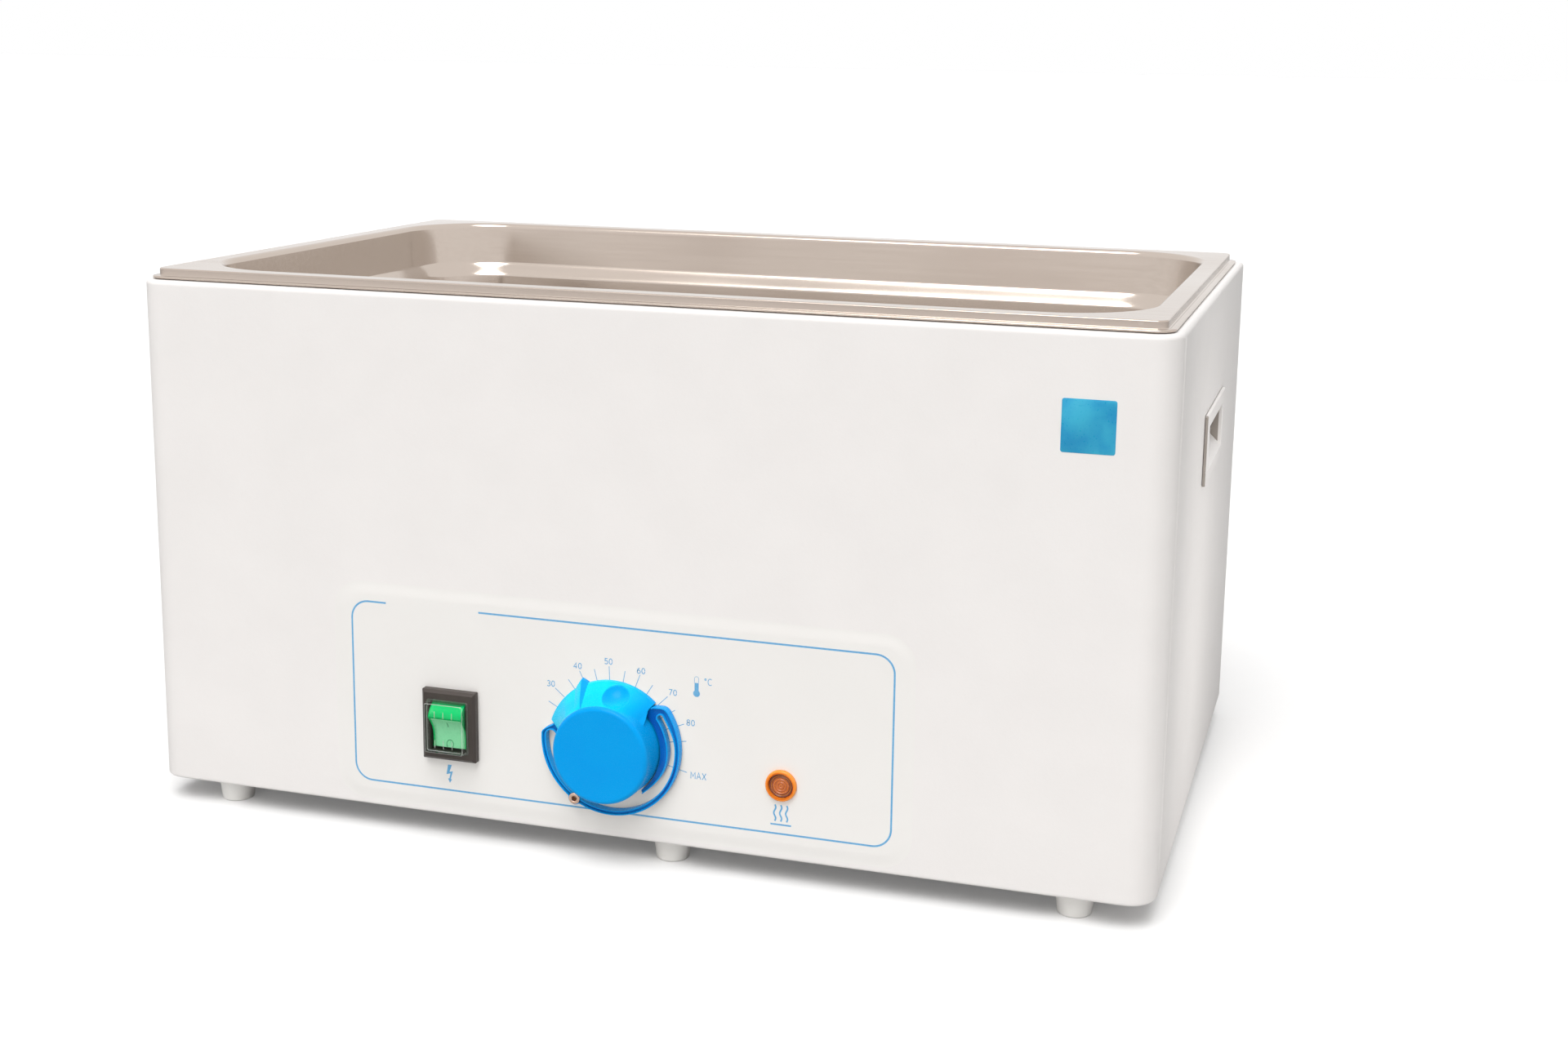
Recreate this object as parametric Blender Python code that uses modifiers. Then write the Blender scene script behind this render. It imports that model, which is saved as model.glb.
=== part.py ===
"""An unstirred laboratory water bath: a stainless tank hung in a sheet-metal case, with its controls.

Units are metres, +Z is up. The origin lies on the bench under the middle of the bath, +X is to the right
seen from the front and +Y to the back. A height is measured from the case's lower face, an outward
distance from the case's front, side or rear face.
"""
import math

import bmesh
import bpy
from mathutils import Euler, Matrix, Vector

# Shared allowances
CLEARANCE = 0.0003
OVERRUN = 0.004

# Case: wrap of folded sheet, open windows at the back and below, hole for the tank above
CASE_WIDTH = 0.5452
CASE_DEPTH = 0.3398
CASE_HEIGHT = 0.2751
SHEET = 0.0015
FRONT_BEND = 0.0145
BACK_BEND = 0.002
TOP_ROUNDING = 0.0025
BOTTOM_FLANGE = 0.030
BACK_FLANGE = 0.014

# Feet
FOOT_HEIGHT = 0.013
FOOT_TOP_RADIUS = 0.010
FOOT_BOTTOM_RADIUS = 0.0086
FOOT_RECESS_RADIUS = 0.0045
FOOT_RECESS_DEPTH = 0.007
FOOT_EDGE_ROUNDING = 0.0009
FOOT_INSET_X = 0.0396
FOOT_INSET_Y = 0.0164
MIDDLE_FOOT_OFFSET = 0.024

# Screws
SCREW_RADIUS = 0.0015
SCREW_HEAD_RADIUS = 0.0028
SCREW_HEAD_HEIGHT = 0.0016
SCREW_LENGTH = 0.008
FOOT_SCREW_RADIUS = 0.002
FOOT_SCREW_HEAD_RADIUS = 0.0037
FOOT_SCREW_HEAD_HEIGHT = 0.0026
FOOT_SCREW_TAIL = 0.006

# Tank, given by its wet faces
TANK_SHEET = 0.001
RIM_MARGIN_X = 0.0076
RIM_MARGIN_Y = 0.0074
RIM_WIDTH = CASE_WIDTH - 2 * RIM_MARGIN_X
RIM_DEPTH = CASE_DEPTH - 2 * RIM_MARGIN_Y
RIM_RISE = 0.0057
RIM_CORNER = 0.006
RIM_EDGE_ROUNDING = 0.0012
LIP_REACH = 0.0036
RIM_LEDGE_X = 0.012
RIM_LEDGE_Y = 0.0125
MOUTH_WIDTH = RIM_WIDTH - 2 * RIM_LEDGE_X
MOUTH_DEPTH = RIM_DEPTH - 2 * RIM_LEDGE_Y
MOUTH_CORNER = 0.048
MOUTH_ROUNDING = 0.003
TANK_DEPTH = 0.150
SHOULDER_TOP_DROP = 0.0252
SHOULDER_HEIGHT = 0.009
SHOULDER_INSET = 0.006
SHOULDER_CURVE_SHARES = ((0, 0), (0.18, 0.22), (0.82, 0.78), (1, 1))
WALL_DRAFT = 0.001
LOWER_DRAFT = 0.003
FLOOR_ROUNDING = 0.020
GASKET_THICKNESS = 0.0005
GASKET_WIDTH = 0.006
GASKET_INSET = 0.0008
TANK_HOLE_MARGIN = 0.0025

# Heating and insulation
JACKET_THICKNESS = 0.008
JACKET_HEIGHT = 0.090
JACKET_DROP = 0.0385
PAD_INSET_X = 0.0626
PAD_INSET_Y = 0.0819
PAD_WIDTH = CASE_WIDTH - 2 * PAD_INSET_X
PAD_DEPTH = CASE_DEPTH - 2 * PAD_INSET_Y
PAD_CORNER = 0.012
PAD_THICKNESS = 0.012
HEATER_THICKNESS = 0.0016
SPREADER_THICKNESS = 0.0012
STRAP_WIDTH = 0.020
STRAP_THICKNESS = 0.0012
STRAP_PLACE_SHARE = 0.357
STRAP_FOOT = 0.009
STRAP_BEND = 0.003

# Control overlay, and the places of the controls on the front
OVERLAY_LEFT = -0.1530
OVERLAY_RIGHT = 0.1475
OVERLAY_BOTTOM = 0.0103
OVERLAY_TOP = 0.1160
OVERLAY_CORNER = 0.009
OVERLAY_THICKNESS = 0.00025
OVERLAY_GAP = 0.0002
DIAL_X = -0.0025
DIAL_HEIGHT = 0.0502
SWITCH_X = -0.0927
SWITCH_HEIGHT = 0.0508
LAMP_X = 0.0875
LAMP_HEIGHT = 0.0397

# Knob, thermostat and the ring clipped round the knob; angles in degrees from +X, seen from the front
KNOB_HEIGHT = 0.0188
KNOB_GAP = 0.0006
KNOB_BASE_RADIUS = 0.0264
KNOB_FACE_RADIUS = 0.0256
KNOB_EDGE_ROUNDING = 0.0022
KNOB_LOBE_REACH = 0.0090
KNOB_LOBE_FOOT = 0.0028
KNOB_LEVEL_SHARES = (0.36, 0.6, 0.82, 1)
KNOB_STEP_ANGLE = 7.5
LOBE_START_ANGLE = 52.0
LOBE_END_ANGLE = 160.0
LOBE_EDGE_ANGLE = 2.5
POINTER_ANGLE = 115.6
POINTER_REACH = 0.0026
POINTER_HALF_ANGLE = 6.0
POINTER_TOP_SHARE = 0.3
POINTER_CURVE_SHARES = (-1, -0.45, 0, 0.45, 1)
DIMPLE_ANGLE = 86.0
DIMPLE_RADIUS = 0.0105
DIMPLE_DEPTH = 0.0034
DIMPLE_HEIGHT = 0.0082
KNOB_CAVITY_RADIUS = 0.0210
KNOB_CAVITY_DEPTH = 0.0125
HUB_RADIUS = 0.0055
HUB_START = 0.0058
HUB_BORE_END = 0.0150
SPINDLE_RADIUS = 0.003
SPINDLE_CLEARANCE = 0.0001
SPINDLE_DEPTH = 0.0125
SPINDLE_REACH = 0.0148
RING_RADIUS = 0.0356
RING_OFFSET = 0.0016
RING_THICKNESS = 0.0026
RING_START = 0.0007
RING_DEPTH = 0.0045
RING_LEAF_GAP = 0.0005
RING_RIGHT_ANGLE = 41.0
RING_LEFT_ANGLE = 170.0
RING_END_ANGLE = 8.0
RIGHT_LEAF_ANGLE = 93.0
LEFT_LEAF_ANGLE = 42.0
EYELET_ANGLE = -122.0
EYELET_BOSS_RADIUS = 0.0036
EYELET_HOLE_RADIUS = 0.0021
EYELET_RADIUS = 0.0030
EYELET_BORE = 0.0013
EYELET_HEAD = 0.0009
BUSHING_RADIUS = 0.005
BUSHING_REACH = 0.0052
NUT_RADIUS = 0.0085
NUT_THICKNESS = 0.0025
THERMOSTAT_WIDTH = 0.044
THERMOSTAT_HEIGHT = 0.036
THERMOSTAT_DEPTH = 0.030
BULB_RADIUS = 0.003
BULB_LENGTH = 0.090
BULB_GAP = 0.016
BULB_PLACE_Y = -PAD_DEPTH / 2 - BULB_GAP
CAPILLARY_RADIUS = 0.0009
CLIP_WIDTH = 0.012
CLIP_THICKNESS = 0.0006
CLIP_FOOT = 0.006
CUTOUT_RADIUS = 0.008
CUTOUT_HEIGHT = 0.009
CUTOUT_END_SHARE = 0.8
CUTOUT_X = 0.085
BLADE_WIDTH = 0.0063
BLADE_THICKNESS = 0.0008
BLADE_LENGTH = 0.008

# Mains switch
BEZEL_WIDTH = 0.0290
BEZEL_HEIGHT = 0.0365
BEZEL_RISE = 0.0053
SWITCH_BODY_WIDTH = 0.0256
SWITCH_BODY_HEIGHT = 0.0322
SWITCH_BODY_DEPTH = 0.026
SWITCH_WELL_WIDTH = 0.0200
SWITCH_WELL_HEIGHT = 0.0276
SWITCH_WELL_DEPTH = 0.0130
ROCKER_WIDTH = 0.0186
ROCKER_RADIUS = 0.0135
ROCKER_TIP_ANGLE = 19.0
ROCKER_PIVOT_DEPTH = 0.003
ROCKER_EDGE_ANGLE = 44.0
ROCKER_BACK_ANGLE = 95.0
ROCKER_ARC_STEPS = 4
ROCKER_MIDDLE_REACH = 0.0072
ROCKER_DISH_SHARE = 0.3
ROCKER_PIN_RADIUS = 0.0015
ROCKER_PIN_REACH = 0.0010
COVER_WIDTH = 0.0223
COVER_HEIGHT = 0.0272
COVER_TAPER = 0.0009
COVER_RISE = 0.0052
COVER_WALL = 0.0008

# Heater lamp
LENS_RADIUS = 0.0081
LENS_RISE = 0.0026
LENS_RECESS_RADIUS = 0.0056
LENS_RECESS_DEPTH = 0.0011
LENS_NECK_RADIUS = 0.0058
LENS_NECK_DEPTH = 0.009
LAMP_BODY_RADIUS = 0.0062
LAMP_BODY_DEPTH = 0.022
LAMP_NUT_RADIUS = 0.0092
LAMP_NUT_THICKNESS = 0.0035

# Recessed side handles
HANDLE_CENTRE_Y = 0.013
HANDLE_LENGTH = 0.098
HANDLE_HEIGHT = 0.0375
HANDLE_PLACE = 0.1967
HANDLE_PROUD = 0.0018
HANDLE_WALL = 0.0014
GRIP_LENGTH = 0.074
GRIP_BOTTOM = 0.1845
GRIP_TOP = 0.2080
GRIP_ROOF = 0.2115
GRIP_DEPTH = 0.0130

# Rear panel, mains inlet and wiring
REAR_MARGIN = 0.006
SLOT_LENGTH = 0.040
SLOT_WIDTH = 0.004
SLOT_PITCH = 0.014
SLOT_COUNT = 8
SLOT_HEIGHT = 0.060
INLET_INSET = 0.0926
INLET_X = CASE_WIDTH / 2 - INLET_INSET
INLET_HEIGHT = 0.052
INLET_FLANGE_WIDTH = 0.050
INLET_FLANGE_HEIGHT = 0.0245
INLET_FLANGE = 0.0028
INLET_BODY_WIDTH = 0.0278
INLET_BODY_HEIGHT = 0.0200
INLET_BODY_DEPTH = 0.0175
INLET_WELL_WIDTH = 0.0244
INLET_WELL_HEIGHT = 0.0166
INLET_WELL_DEPTH = 0.0165
INLET_SCREW_SPACING = 0.040
PIN_WIDTH = 0.004
PIN_THICKNESS = 0.002
PIN_LENGTH = 0.024
PIN_SPACING = 0.007
PIN_DROP = 0.002
PIN_RECESS = 0.003
TERMINAL_INSET_X = 0.0506
TERMINAL_INSET_Y = 0.0719
TERMINAL_X = CASE_WIDTH / 2 - TERMINAL_INSET_X
TERMINAL_Y = CASE_DEPTH / 2 - TERMINAL_INSET_Y
TERMINAL_LENGTH = 0.056
TERMINAL_DEPTH = 0.016
TERMINAL_HEIGHT = 0.014
TERMINAL_HOLE_RADIUS = 0.0022
EARTH_INSET_Y = 0.0949
EARTH_X = INLET_X
EARTH_Y = CASE_DEPTH / 2 - EARTH_INSET_Y
EARTH_RADIUS = 0.002
EARTH_NUT_RADIUS = 0.004
EARTH_HEIGHT = 0.014
WIRE_RADIUS = 0.0012
VENT_LENGTH = 0.030
VENT_WIDTH = 0.004
VENT_PITCH = 0.060
VENT_COUNT = 4
VENT_PLACE_Y = 0.055

CORNER_SEGMENTS = 5
FACETS = 24
FINE_FACETS = 32
SMALL_FACETS = 10
COLOURS = {
    "case": ((0.80, 0.79, 0.77), 0.45, 0.0),
    "foot": ((0.82, 0.81, 0.78), 0.55, 0.0),
    "stainless": ((0.62, 0.56, 0.50), 0.28, 1.0),
    "zinc": ((0.60, 0.60, 0.58), 0.35, 1.0),
    "rubber": ((0.03, 0.03, 0.03), 0.80, 0.0),
    "wool": ((0.55, 0.50, 0.38), 0.95, 0.0),
    "heater": ((0.45, 0.16, 0.06), 0.70, 0.0),
    "aluminium": ((0.75, 0.75, 0.76), 0.40, 1.0),
    "overlay": ((0.84, 0.84, 0.82), 0.35, 0.0),
    "knob": ((0.005, 0.30, 0.80), 0.30, 0.0),
    "ring": ((0.005, 0.22, 0.75), 0.35, 0.0),
    "nickel": ((0.70, 0.55, 0.45), 0.20, 1.0),
    "black": ((0.03, 0.027, 0.025), 0.35, 0.0),
    "green": ((0.02, 0.50, 0.16), 0.25, 0.0),
    "clear": ((0.90, 0.92, 0.90), 0.05, 0.0),
    "orange": ((0.80, 0.22, 0.02), 0.20, 0.0),
    "brass": ((0.78, 0.58, 0.25), 0.30, 1.0),
    "copper": ((0.80, 0.40, 0.22), 0.30, 1.0),
    "ceramic": ((0.85, 0.82, 0.74), 0.60, 0.0),
    "brown_wire": ((0.20, 0.08, 0.03), 0.50, 0.0),
    "blue_wire": ((0.03, 0.10, 0.45), 0.50, 0.0),
    "earth_wire": ((0.20, 0.55, 0.05), 0.50, 0.0),
}

# Places worked out from the sizes above
FRONT_REACH = KNOB_GAP + KNOB_HEIGHT
REAR_REACH = SHEET + INLET_FLANGE + SCREW_HEAD_HEIGHT + 5 * CLEARANCE / 2
CENTRE_Y = (FRONT_REACH - REAR_REACH) / 2
FRONT_Y = CENTRE_Y - CASE_DEPTH / 2
REAR_Y = CENTRE_Y + CASE_DEPTH / 2
REAR_PANEL_FACE = CLEARANCE + SHEET
OVERLAY_FACE = OVERLAY_GAP + OVERLAY_THICKNESS
RIM_HEIGHT = CASE_HEIGHT + RIM_RISE
FLOOR_HEIGHT = RIM_HEIGHT - TANK_DEPTH
TANK_UNDERSIDE = FLOOR_HEIGHT - TANK_SHEET
BASE_TOP = SHEET + CLEARANCE + SHEET
MOUTH_HALF_X = MOUTH_WIDTH / 2
MOUTH_HALF_Y = MOUTH_DEPTH / 2
LOWER_HALF_X = MOUTH_HALF_X - WALL_DRAFT - SHOULDER_INSET
LOWER_HALF_Y = MOUTH_HALF_Y - WALL_DRAFT - SHOULDER_INSET
LOWER_CORNER = MOUTH_CORNER - SHOULDER_INSET
FACE_FRONT = Euler((math.pi / 2, 0, 0))
FACE_REAR = Euler((math.pi / 2, 0, math.pi))
FACE_UP = Euler((0, 0, 0))
FACE_DOWN = Euler((math.pi, 0, 0))


def clear_scene():
    """Removes every object that the file opened with."""
    for thing in list(bpy.data.objects):
        bpy.data.objects.remove(thing, do_unlink=True)


def new_collection(name):
    """A collection linked under the scene's own."""
    group = bpy.data.collections.new(name)
    bpy.context.scene.collection.children.link(group)
    return group


def material(name):
    """The Principled material of one finish."""
    if name in bpy.data.materials:
        return bpy.data.materials[name]
    colour, roughness, metallic = COLOURS[name]
    finish = bpy.data.materials.new(name)
    finish.use_nodes = True
    shader = finish.node_tree.nodes["Principled BSDF"]
    shader.inputs["Base Color"].default_value = (*colour, 1)
    shader.inputs["Roughness"].default_value = roughness
    shader.inputs["Metallic"].default_value = metallic
    finish.diffuse_color = (*colour, 1)
    return finish


def add_object(name, mesh, group, finish=None):
    """An object for a mesh, in its collection, with its finish; flat faces stay flat."""
    thing = bpy.data.objects.new(name, mesh)
    group.objects.link(thing)
    if finish:
        if mesh.materials:
            mesh.materials.clear()
        mesh.materials.append(material(finish))
    if hasattr(mesh, "shade_smooth"):
        mesh.shade_smooth()
        mesh.set_sharp_from_angle(angle=math.radians(32))
    return thing


def add_cutter(name, mesh):
    """A hidden object that only cuts or joins."""
    thing = add_object(name, mesh, bpy.data.collections["cutters"])
    thing.hide_render = True
    thing.display_type = "WIRE"
    return thing


def mesh_of(bm, name):
    """Turns an edit mesh into mesh data with its faces pointing out."""
    bmesh.ops.recalc_face_normals(bm, faces=bm.faces)
    mesh = bpy.data.meshes.new(name)
    bm.to_mesh(mesh)
    bm.free()
    return mesh


def boolean(thing, cutter, operation="DIFFERENCE"):
    """Cuts or joins one object with another."""
    change = thing.modifiers.new(cutter.name, "BOOLEAN")
    change.object = cutter
    change.operation = operation
    change.solver = "EXACT"


def bevel(thing, width, segments=1, angle=30.0):
    """Rounds the edges that are sharper than the angle."""
    change = thing.modifiers.new("rounded_edges", "BEVEL")
    change.width = width
    change.segments = segments
    change.limit_method = "ANGLE"
    change.angle_limit = math.radians(angle)


def solidify(thing, thickness, offset):
    """Gives an open sheet its thickness."""
    change = thing.modifiers.new("sheet", "SOLIDIFY")
    change.thickness = thickness
    change.offset = offset
    change.use_even_offset = True


def front_place(x, height, outward=0.0):
    """A point on the case's front, or ahead of it."""
    return Vector((x, FRONT_Y - outward, FOOT_HEIGHT + height))


def rear_place(x, height, outward=0.0):
    """A point on the case's rear, or behind it."""
    return Vector((x, REAR_Y + outward, FOOT_HEIGHT + height))


def inside_place(x, y, height):
    """A point given from the case's middle and its lower face."""
    return Vector((x, CENTRE_Y + y, FOOT_HEIGHT + height))


def put(thing, place, facing=FACE_UP):
    """Places an object, turned so that its own Z faces the given way."""
    thing.location = place
    thing.rotation_euler = facing
    return thing


def box_mesh(name, size, centre=(0, 0, 0)):
    """A box about a centre."""
    bm = bmesh.new()
    bmesh.ops.create_cube(bm, size=1)
    bmesh.ops.scale(bm, vec=size, verts=bm.verts)
    bmesh.ops.translate(bm, vec=centre, verts=bm.verts)
    return mesh_of(bm, name)


def boxes_mesh(name, boxes):
    """Separate boxes in one mesh, each a size and a centre."""
    bm = bmesh.new()
    for size, centre in boxes:
        verts = bmesh.ops.create_cube(bm, size=1)["verts"]
        bmesh.ops.scale(bm, vec=size, verts=verts)
        bmesh.ops.translate(bm, vec=centre, verts=verts)
    return mesh_of(bm, name)


def rods_mesh(name, rods, facets=SMALL_FACETS):
    """Separate upright cylinders in one mesh, each a radius, a low and a high end and a place."""
    bm = bmesh.new()
    for radius, low, high, place in rods:
        turn = Matrix.Translation((place[0], place[1], (low + high) / 2))
        bmesh.ops.create_cone(
            bm, cap_ends=True, segments=facets, radius1=radius, radius2=radius, depth=high - low, matrix=turn
        )
    return mesh_of(bm, name)


def turned_mesh(name, profile, facets=FACETS):
    """A profile of (radius, height) points turned round Z; a closed loop of points makes a tube."""
    bm = bmesh.new()
    on_axis = profile[0][0] == 0
    rings = []
    for radius, height in profile:
        if radius == 0:
            rings.append([bm.verts.new((0, 0, height))])
            continue
        turns = [2 * math.pi * step / facets for step in range(facets)]
        rings.append([bm.verts.new((radius * math.cos(a), radius * math.sin(a), height)) for a in turns])
    pairs = list(zip(rings, rings[1:]))
    if not on_axis:
        pairs.append((rings[-1], rings[0]))
    for upper, lower in pairs:
        for step in range(facets):
            after = (step + 1) % facets
            corners = [upper[step % len(upper)], upper[after % len(upper)]]
            corners += [lower[after % len(lower)], lower[step % len(lower)]]
            bm.faces.new(list(dict.fromkeys(corners)))
    return mesh_of(bm, name)


def rounded_rectangle(half_x, half_y, radius, back_radius=None, segments=CORNER_SEGMENTS):
    """Points round a rectangle with rounded corners, counter-clockwise from the front right corner."""
    radii = (radius, back_radius or radius, back_radius or radius, radius)
    signs = ((1, -1), (1, 1), (-1, 1), (-1, -1))
    points = []
    for corner, (sign, size) in enumerate(zip(signs, radii)):
        for step in range(segments + 1):
            turn = math.pi / 2 * (corner - 1 + step / segments)
            x = sign[0] * (half_x - size) + size * math.cos(turn)
            y = sign[1] * (half_y - size) + size * math.sin(turn)
            points.append((x, y))
    return points


def slot_outline(x, y, length, width, segments=3):
    """Points round an upright slot with round ends."""
    return [
        (x + px, y + py)
        for px, py in rounded_rectangle(width / 2, length / 2, width / 2 - CLEARANCE / 10, segments=segments)
    ]


def circle_outline(x, y, radius, facets=12):
    """Points round a circle."""
    turns = [2 * math.pi * step / facets for step in range(facets)]
    return [(x + radius * math.cos(turn), y + radius * math.sin(turn)) for turn in turns]


def loft_mesh(name, rings, capped=True):
    """Joins rings of (x, y, z) points that have the same count; open at the start unless capped."""
    bm = bmesh.new()
    rows = [[bm.verts.new(point) for point in ring] for ring in rings]
    for low, high in zip(rows, rows[1:]):
        for step in range(len(low)):
            after = (step + 1) % len(low)
            bm.faces.new((low[step], low[after], high[after], high[step]))
    bm.faces.new(rows[-1])
    if capped:
        bm.faces.new(rows[0][::-1])
        return mesh_of(bm, name)
    mesh = bpy.data.meshes.new(name)
    bm.to_mesh(mesh)
    bm.free()
    return mesh


def prism_mesh(name, outline, vector):
    """A flat outline of 3-D points carried along a vector."""
    bm = bmesh.new()
    face = bm.faces.new([bm.verts.new(point) for point in outline])
    moved = bmesh.ops.extrude_face_region(bm, geom=[face])["geom"]
    verts = [part for part in moved if isinstance(part, bmesh.types.BMVert)]
    bmesh.ops.translate(bm, vec=vector, verts=verts)
    return mesh_of(bm, name)


def plate_mesh(name, outlines, thickness):
    """A flat plate from closed outlines, the later ones holes; its middle plane is at zero."""
    curve = bpy.data.curves.new(name, "CURVE")
    curve.dimensions = "2D"
    curve.fill_mode = "BOTH"
    curve.extrude = thickness / 2
    for outline in outlines:
        spline = curve.splines.new("POLY")
        spline.points.add(len(outline) - 1)
        spline.use_cyclic_u = True
        for point, (x, y) in zip(spline.points, outline):
            point.co = (x, y, 0, 1)
    guide = bpy.data.objects.new(name + "_outline", curve)
    bpy.data.collections["cutters"].objects.link(guide)
    bpy.context.view_layer.update()
    flat = bpy.data.meshes.new_from_object(guide.evaluated_get(bpy.context.evaluated_depsgraph_get()))
    bpy.data.objects.remove(guide, do_unlink=True)
    bm = bmesh.new()
    bm.from_mesh(flat)
    bmesh.ops.remove_doubles(bm, verts=bm.verts, dist=OVERLAY_THICKNESS / 20)
    return mesh_of(bm, name)


def strip_mesh(name, path, vector):
    """An open ribbon: a path of 3-D points carried along a vector."""
    bm = bmesh.new()
    rows = [[bm.verts.new(point), bm.verts.new(Vector(point) + Vector(vector))] for point in path]
    for before, after in zip(rows, rows[1:]):
        bm.faces.new((before[0], after[0], after[1], before[1]))
    mesh = bpy.data.meshes.new(name)
    bm.to_mesh(mesh)
    bm.free()
    return mesh


def tube(name, points, radius, group, finish):
    """A wire or tube along points, with filled ends."""
    curve = bpy.data.curves.new(name, "CURVE")
    curve.dimensions = "3D"
    curve.bevel_depth = radius
    curve.bevel_resolution = 1
    curve.use_fill_caps = True
    spline = curve.splines.new("POLY")
    spline.points.add(len(points) - 1)
    for point, place in zip(spline.points, points):
        point.co = (*place, 1)
    curve.materials.append(material(finish))
    thing = bpy.data.objects.new(name, curve)
    group.objects.link(thing)
    return thing


def eased_route(start, start_way, end, end_way, reach, steps=10):
    """Points along one cubic curve that leaves and arrives along the given ways."""
    controls = (start, start + start_way * reach, end + end_way * reach, end)
    points = []
    for step in range(steps + 1):
        t = step / steps
        weights = ((1 - t) ** 3, 3 * t * (1 - t) ** 2, 3 * t * t * (1 - t), t**3)
        points.append(sum((control * weight for control, weight in zip(controls, weights)), Vector()))
    return points


def foot_places():
    """Name and place of each foot's axis, from the case's middle."""
    side = CASE_WIDTH / 2 - FOOT_INSET_X
    edge = CASE_DEPTH / 2 - FOOT_INSET_Y
    columns = (("left", -side), ("middle", MIDDLE_FOOT_OFFSET), ("right", side))
    rows = (("front", -edge), ("rear", edge))
    return [(f"{row}_{column}", x, y) for row, y in rows for column, x in columns]


def rear_screw_places():
    """Places of the rear panel's screws, from the case's middle and lower face."""
    side = CASE_WIDTH / 2 - REAR_MARGIN - BACK_FLANGE / 2
    low = REAR_MARGIN + BACK_FLANGE / 2
    high = CASE_HEIGHT - low
    columns = (("left", -side), ("right", side))
    rows = (("low", low), ("high", high))
    return [(f"{row}_{column}", x, z) for row, z in rows for column, x in columns]


def side_outline(side, section):
    """A section across a handle, given as outward distance and height, as 3-D points."""
    return [(side * (CASE_WIDTH / 2 + out), 0, FOOT_HEIGHT + height) for out, height in section]


def grip_section():
    """The grip's hollow: its floor slopes up inward, its roof is above the flange's opening."""
    mouth = HANDLE_PROUD + OVERRUN
    return (
        (mouth, GRIP_BOTTOM),
        (HANDLE_PROUD, GRIP_BOTTOM),
        (-GRIP_DEPTH, GRIP_BOTTOM + HANDLE_PROUD + GRIP_DEPTH),
        (-GRIP_DEPTH, GRIP_ROOF),
        (0, GRIP_ROOF),
        (0, GRIP_TOP),
        (mouth, GRIP_TOP),
    )


def pocket_section():
    """The pocket round the grip's hollow, from inside the flange to its back wall."""
    mouth = (HANDLE_PROUD + CLEARANCE) / 2
    back = -GRIP_DEPTH - HANDLE_WALL
    floor = GRIP_BOTTOM + HANDLE_PROUD - HANDLE_WALL * math.sqrt(2)
    return (
        (mouth, floor - mouth),
        (back, floor - back),
        (back, GRIP_ROOF + HANDLE_WALL),
        (mouth, GRIP_ROOF + HANDLE_WALL),
    )


def build_case_shell(group):
    """The folded case: outer skin less its hollow, windows and holes."""
    half_x, half_y = CASE_WIDTH / 2, CASE_DEPTH / 2
    rings = []
    for rise, inset in rounding_steps(TOP_ROUNDING, 3):
        outline = rounded_rectangle(half_x - inset, half_y - inset, FRONT_BEND - inset, BACK_BEND)
        rings.append([(x, y, CASE_HEIGHT - TOP_ROUNDING + rise) for x, y in outline])
    rings.insert(0, [(x, y, 0) for x, y, _ in rings[0]])
    shell = add_object("case_shell", loft_mesh("case_shell", rings), group, "case")
    put(shell, inside_place(0, 0, 0))
    hollow = rounded_rectangle(half_x - SHEET, half_y - SHEET, FRONT_BEND - SHEET, BACK_BEND)
    levels = (SHEET, CASE_HEIGHT - SHEET)
    hollow_mesh = loft_mesh("case_hollow", [[(x, y, z) for x, y in hollow] for z in levels])
    boolean(shell, put(add_cutter("case_hollow", hollow_mesh), inside_place(0, 0, 0)))
    margin = TANK_SHEET + TANK_HOLE_MARGIN
    corner = MOUTH_CORNER + margin
    mouth = rounded_rectangle(MOUTH_HALF_X + margin, MOUTH_HALF_Y + margin, corner)
    levels = (CASE_HEIGHT - SHEET - OVERRUN, CASE_HEIGHT + OVERRUN)
    mouth_mesh = loft_mesh("tank_hole", [[(x, y, z) for x, y in mouth] for z in levels])
    boolean(shell, put(add_cutter("tank_hole", mouth_mesh), inside_place(0, 0, 0)))
    window = (CASE_WIDTH - 2 * BOTTOM_FLANGE, CASE_DEPTH - 2 * BOTTOM_FLANGE, SHEET + 2 * OVERRUN)
    back = (
        CASE_WIDTH - 2 * (SHEET + BACK_FLANGE),
        SHEET + 2 * OVERRUN,
        CASE_HEIGHT - 2 * (SHEET + BACK_FLANGE),
    )
    windows = [(window, (0, 0, SHEET / 2)), (back, (0, half_y - SHEET / 2, CASE_HEIGHT / 2))]
    cutter = add_cutter("case_windows", boxes_mesh("case_windows", windows))
    boolean(shell, put(cutter, inside_place(0, 0, 0)))
    cut_front_holes(shell)
    cut_handle_holes(shell)
    rods = [(FOOT_SCREW_RADIUS + CLEARANCE, -OVERRUN, OVERRUN, (x, y)) for _, x, y in foot_places()]
    boolean(shell, put(add_cutter("foot_holes", rods_mesh("foot_holes", rods)), inside_place(0, 0, 0)))
    rods = [(SCREW_RADIUS + CLEARANCE, -OVERRUN, OVERRUN, (-x, z)) for _, x, z in rear_screw_places()]
    cutter = add_cutter("rear_flange_holes", rods_mesh("rear_flange_holes", rods))
    boolean(shell, put(cutter, rear_place(0, 0), FACE_REAR))


def rounding_steps(radius, count):
    """Rise and inset of each step of a quarter round, from upright to flat."""
    turns = [math.pi / 2 * step / count for step in range(count + 1)]
    return [(radius * math.sin(turn), radius * (1 - math.cos(turn))) for turn in turns]


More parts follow.
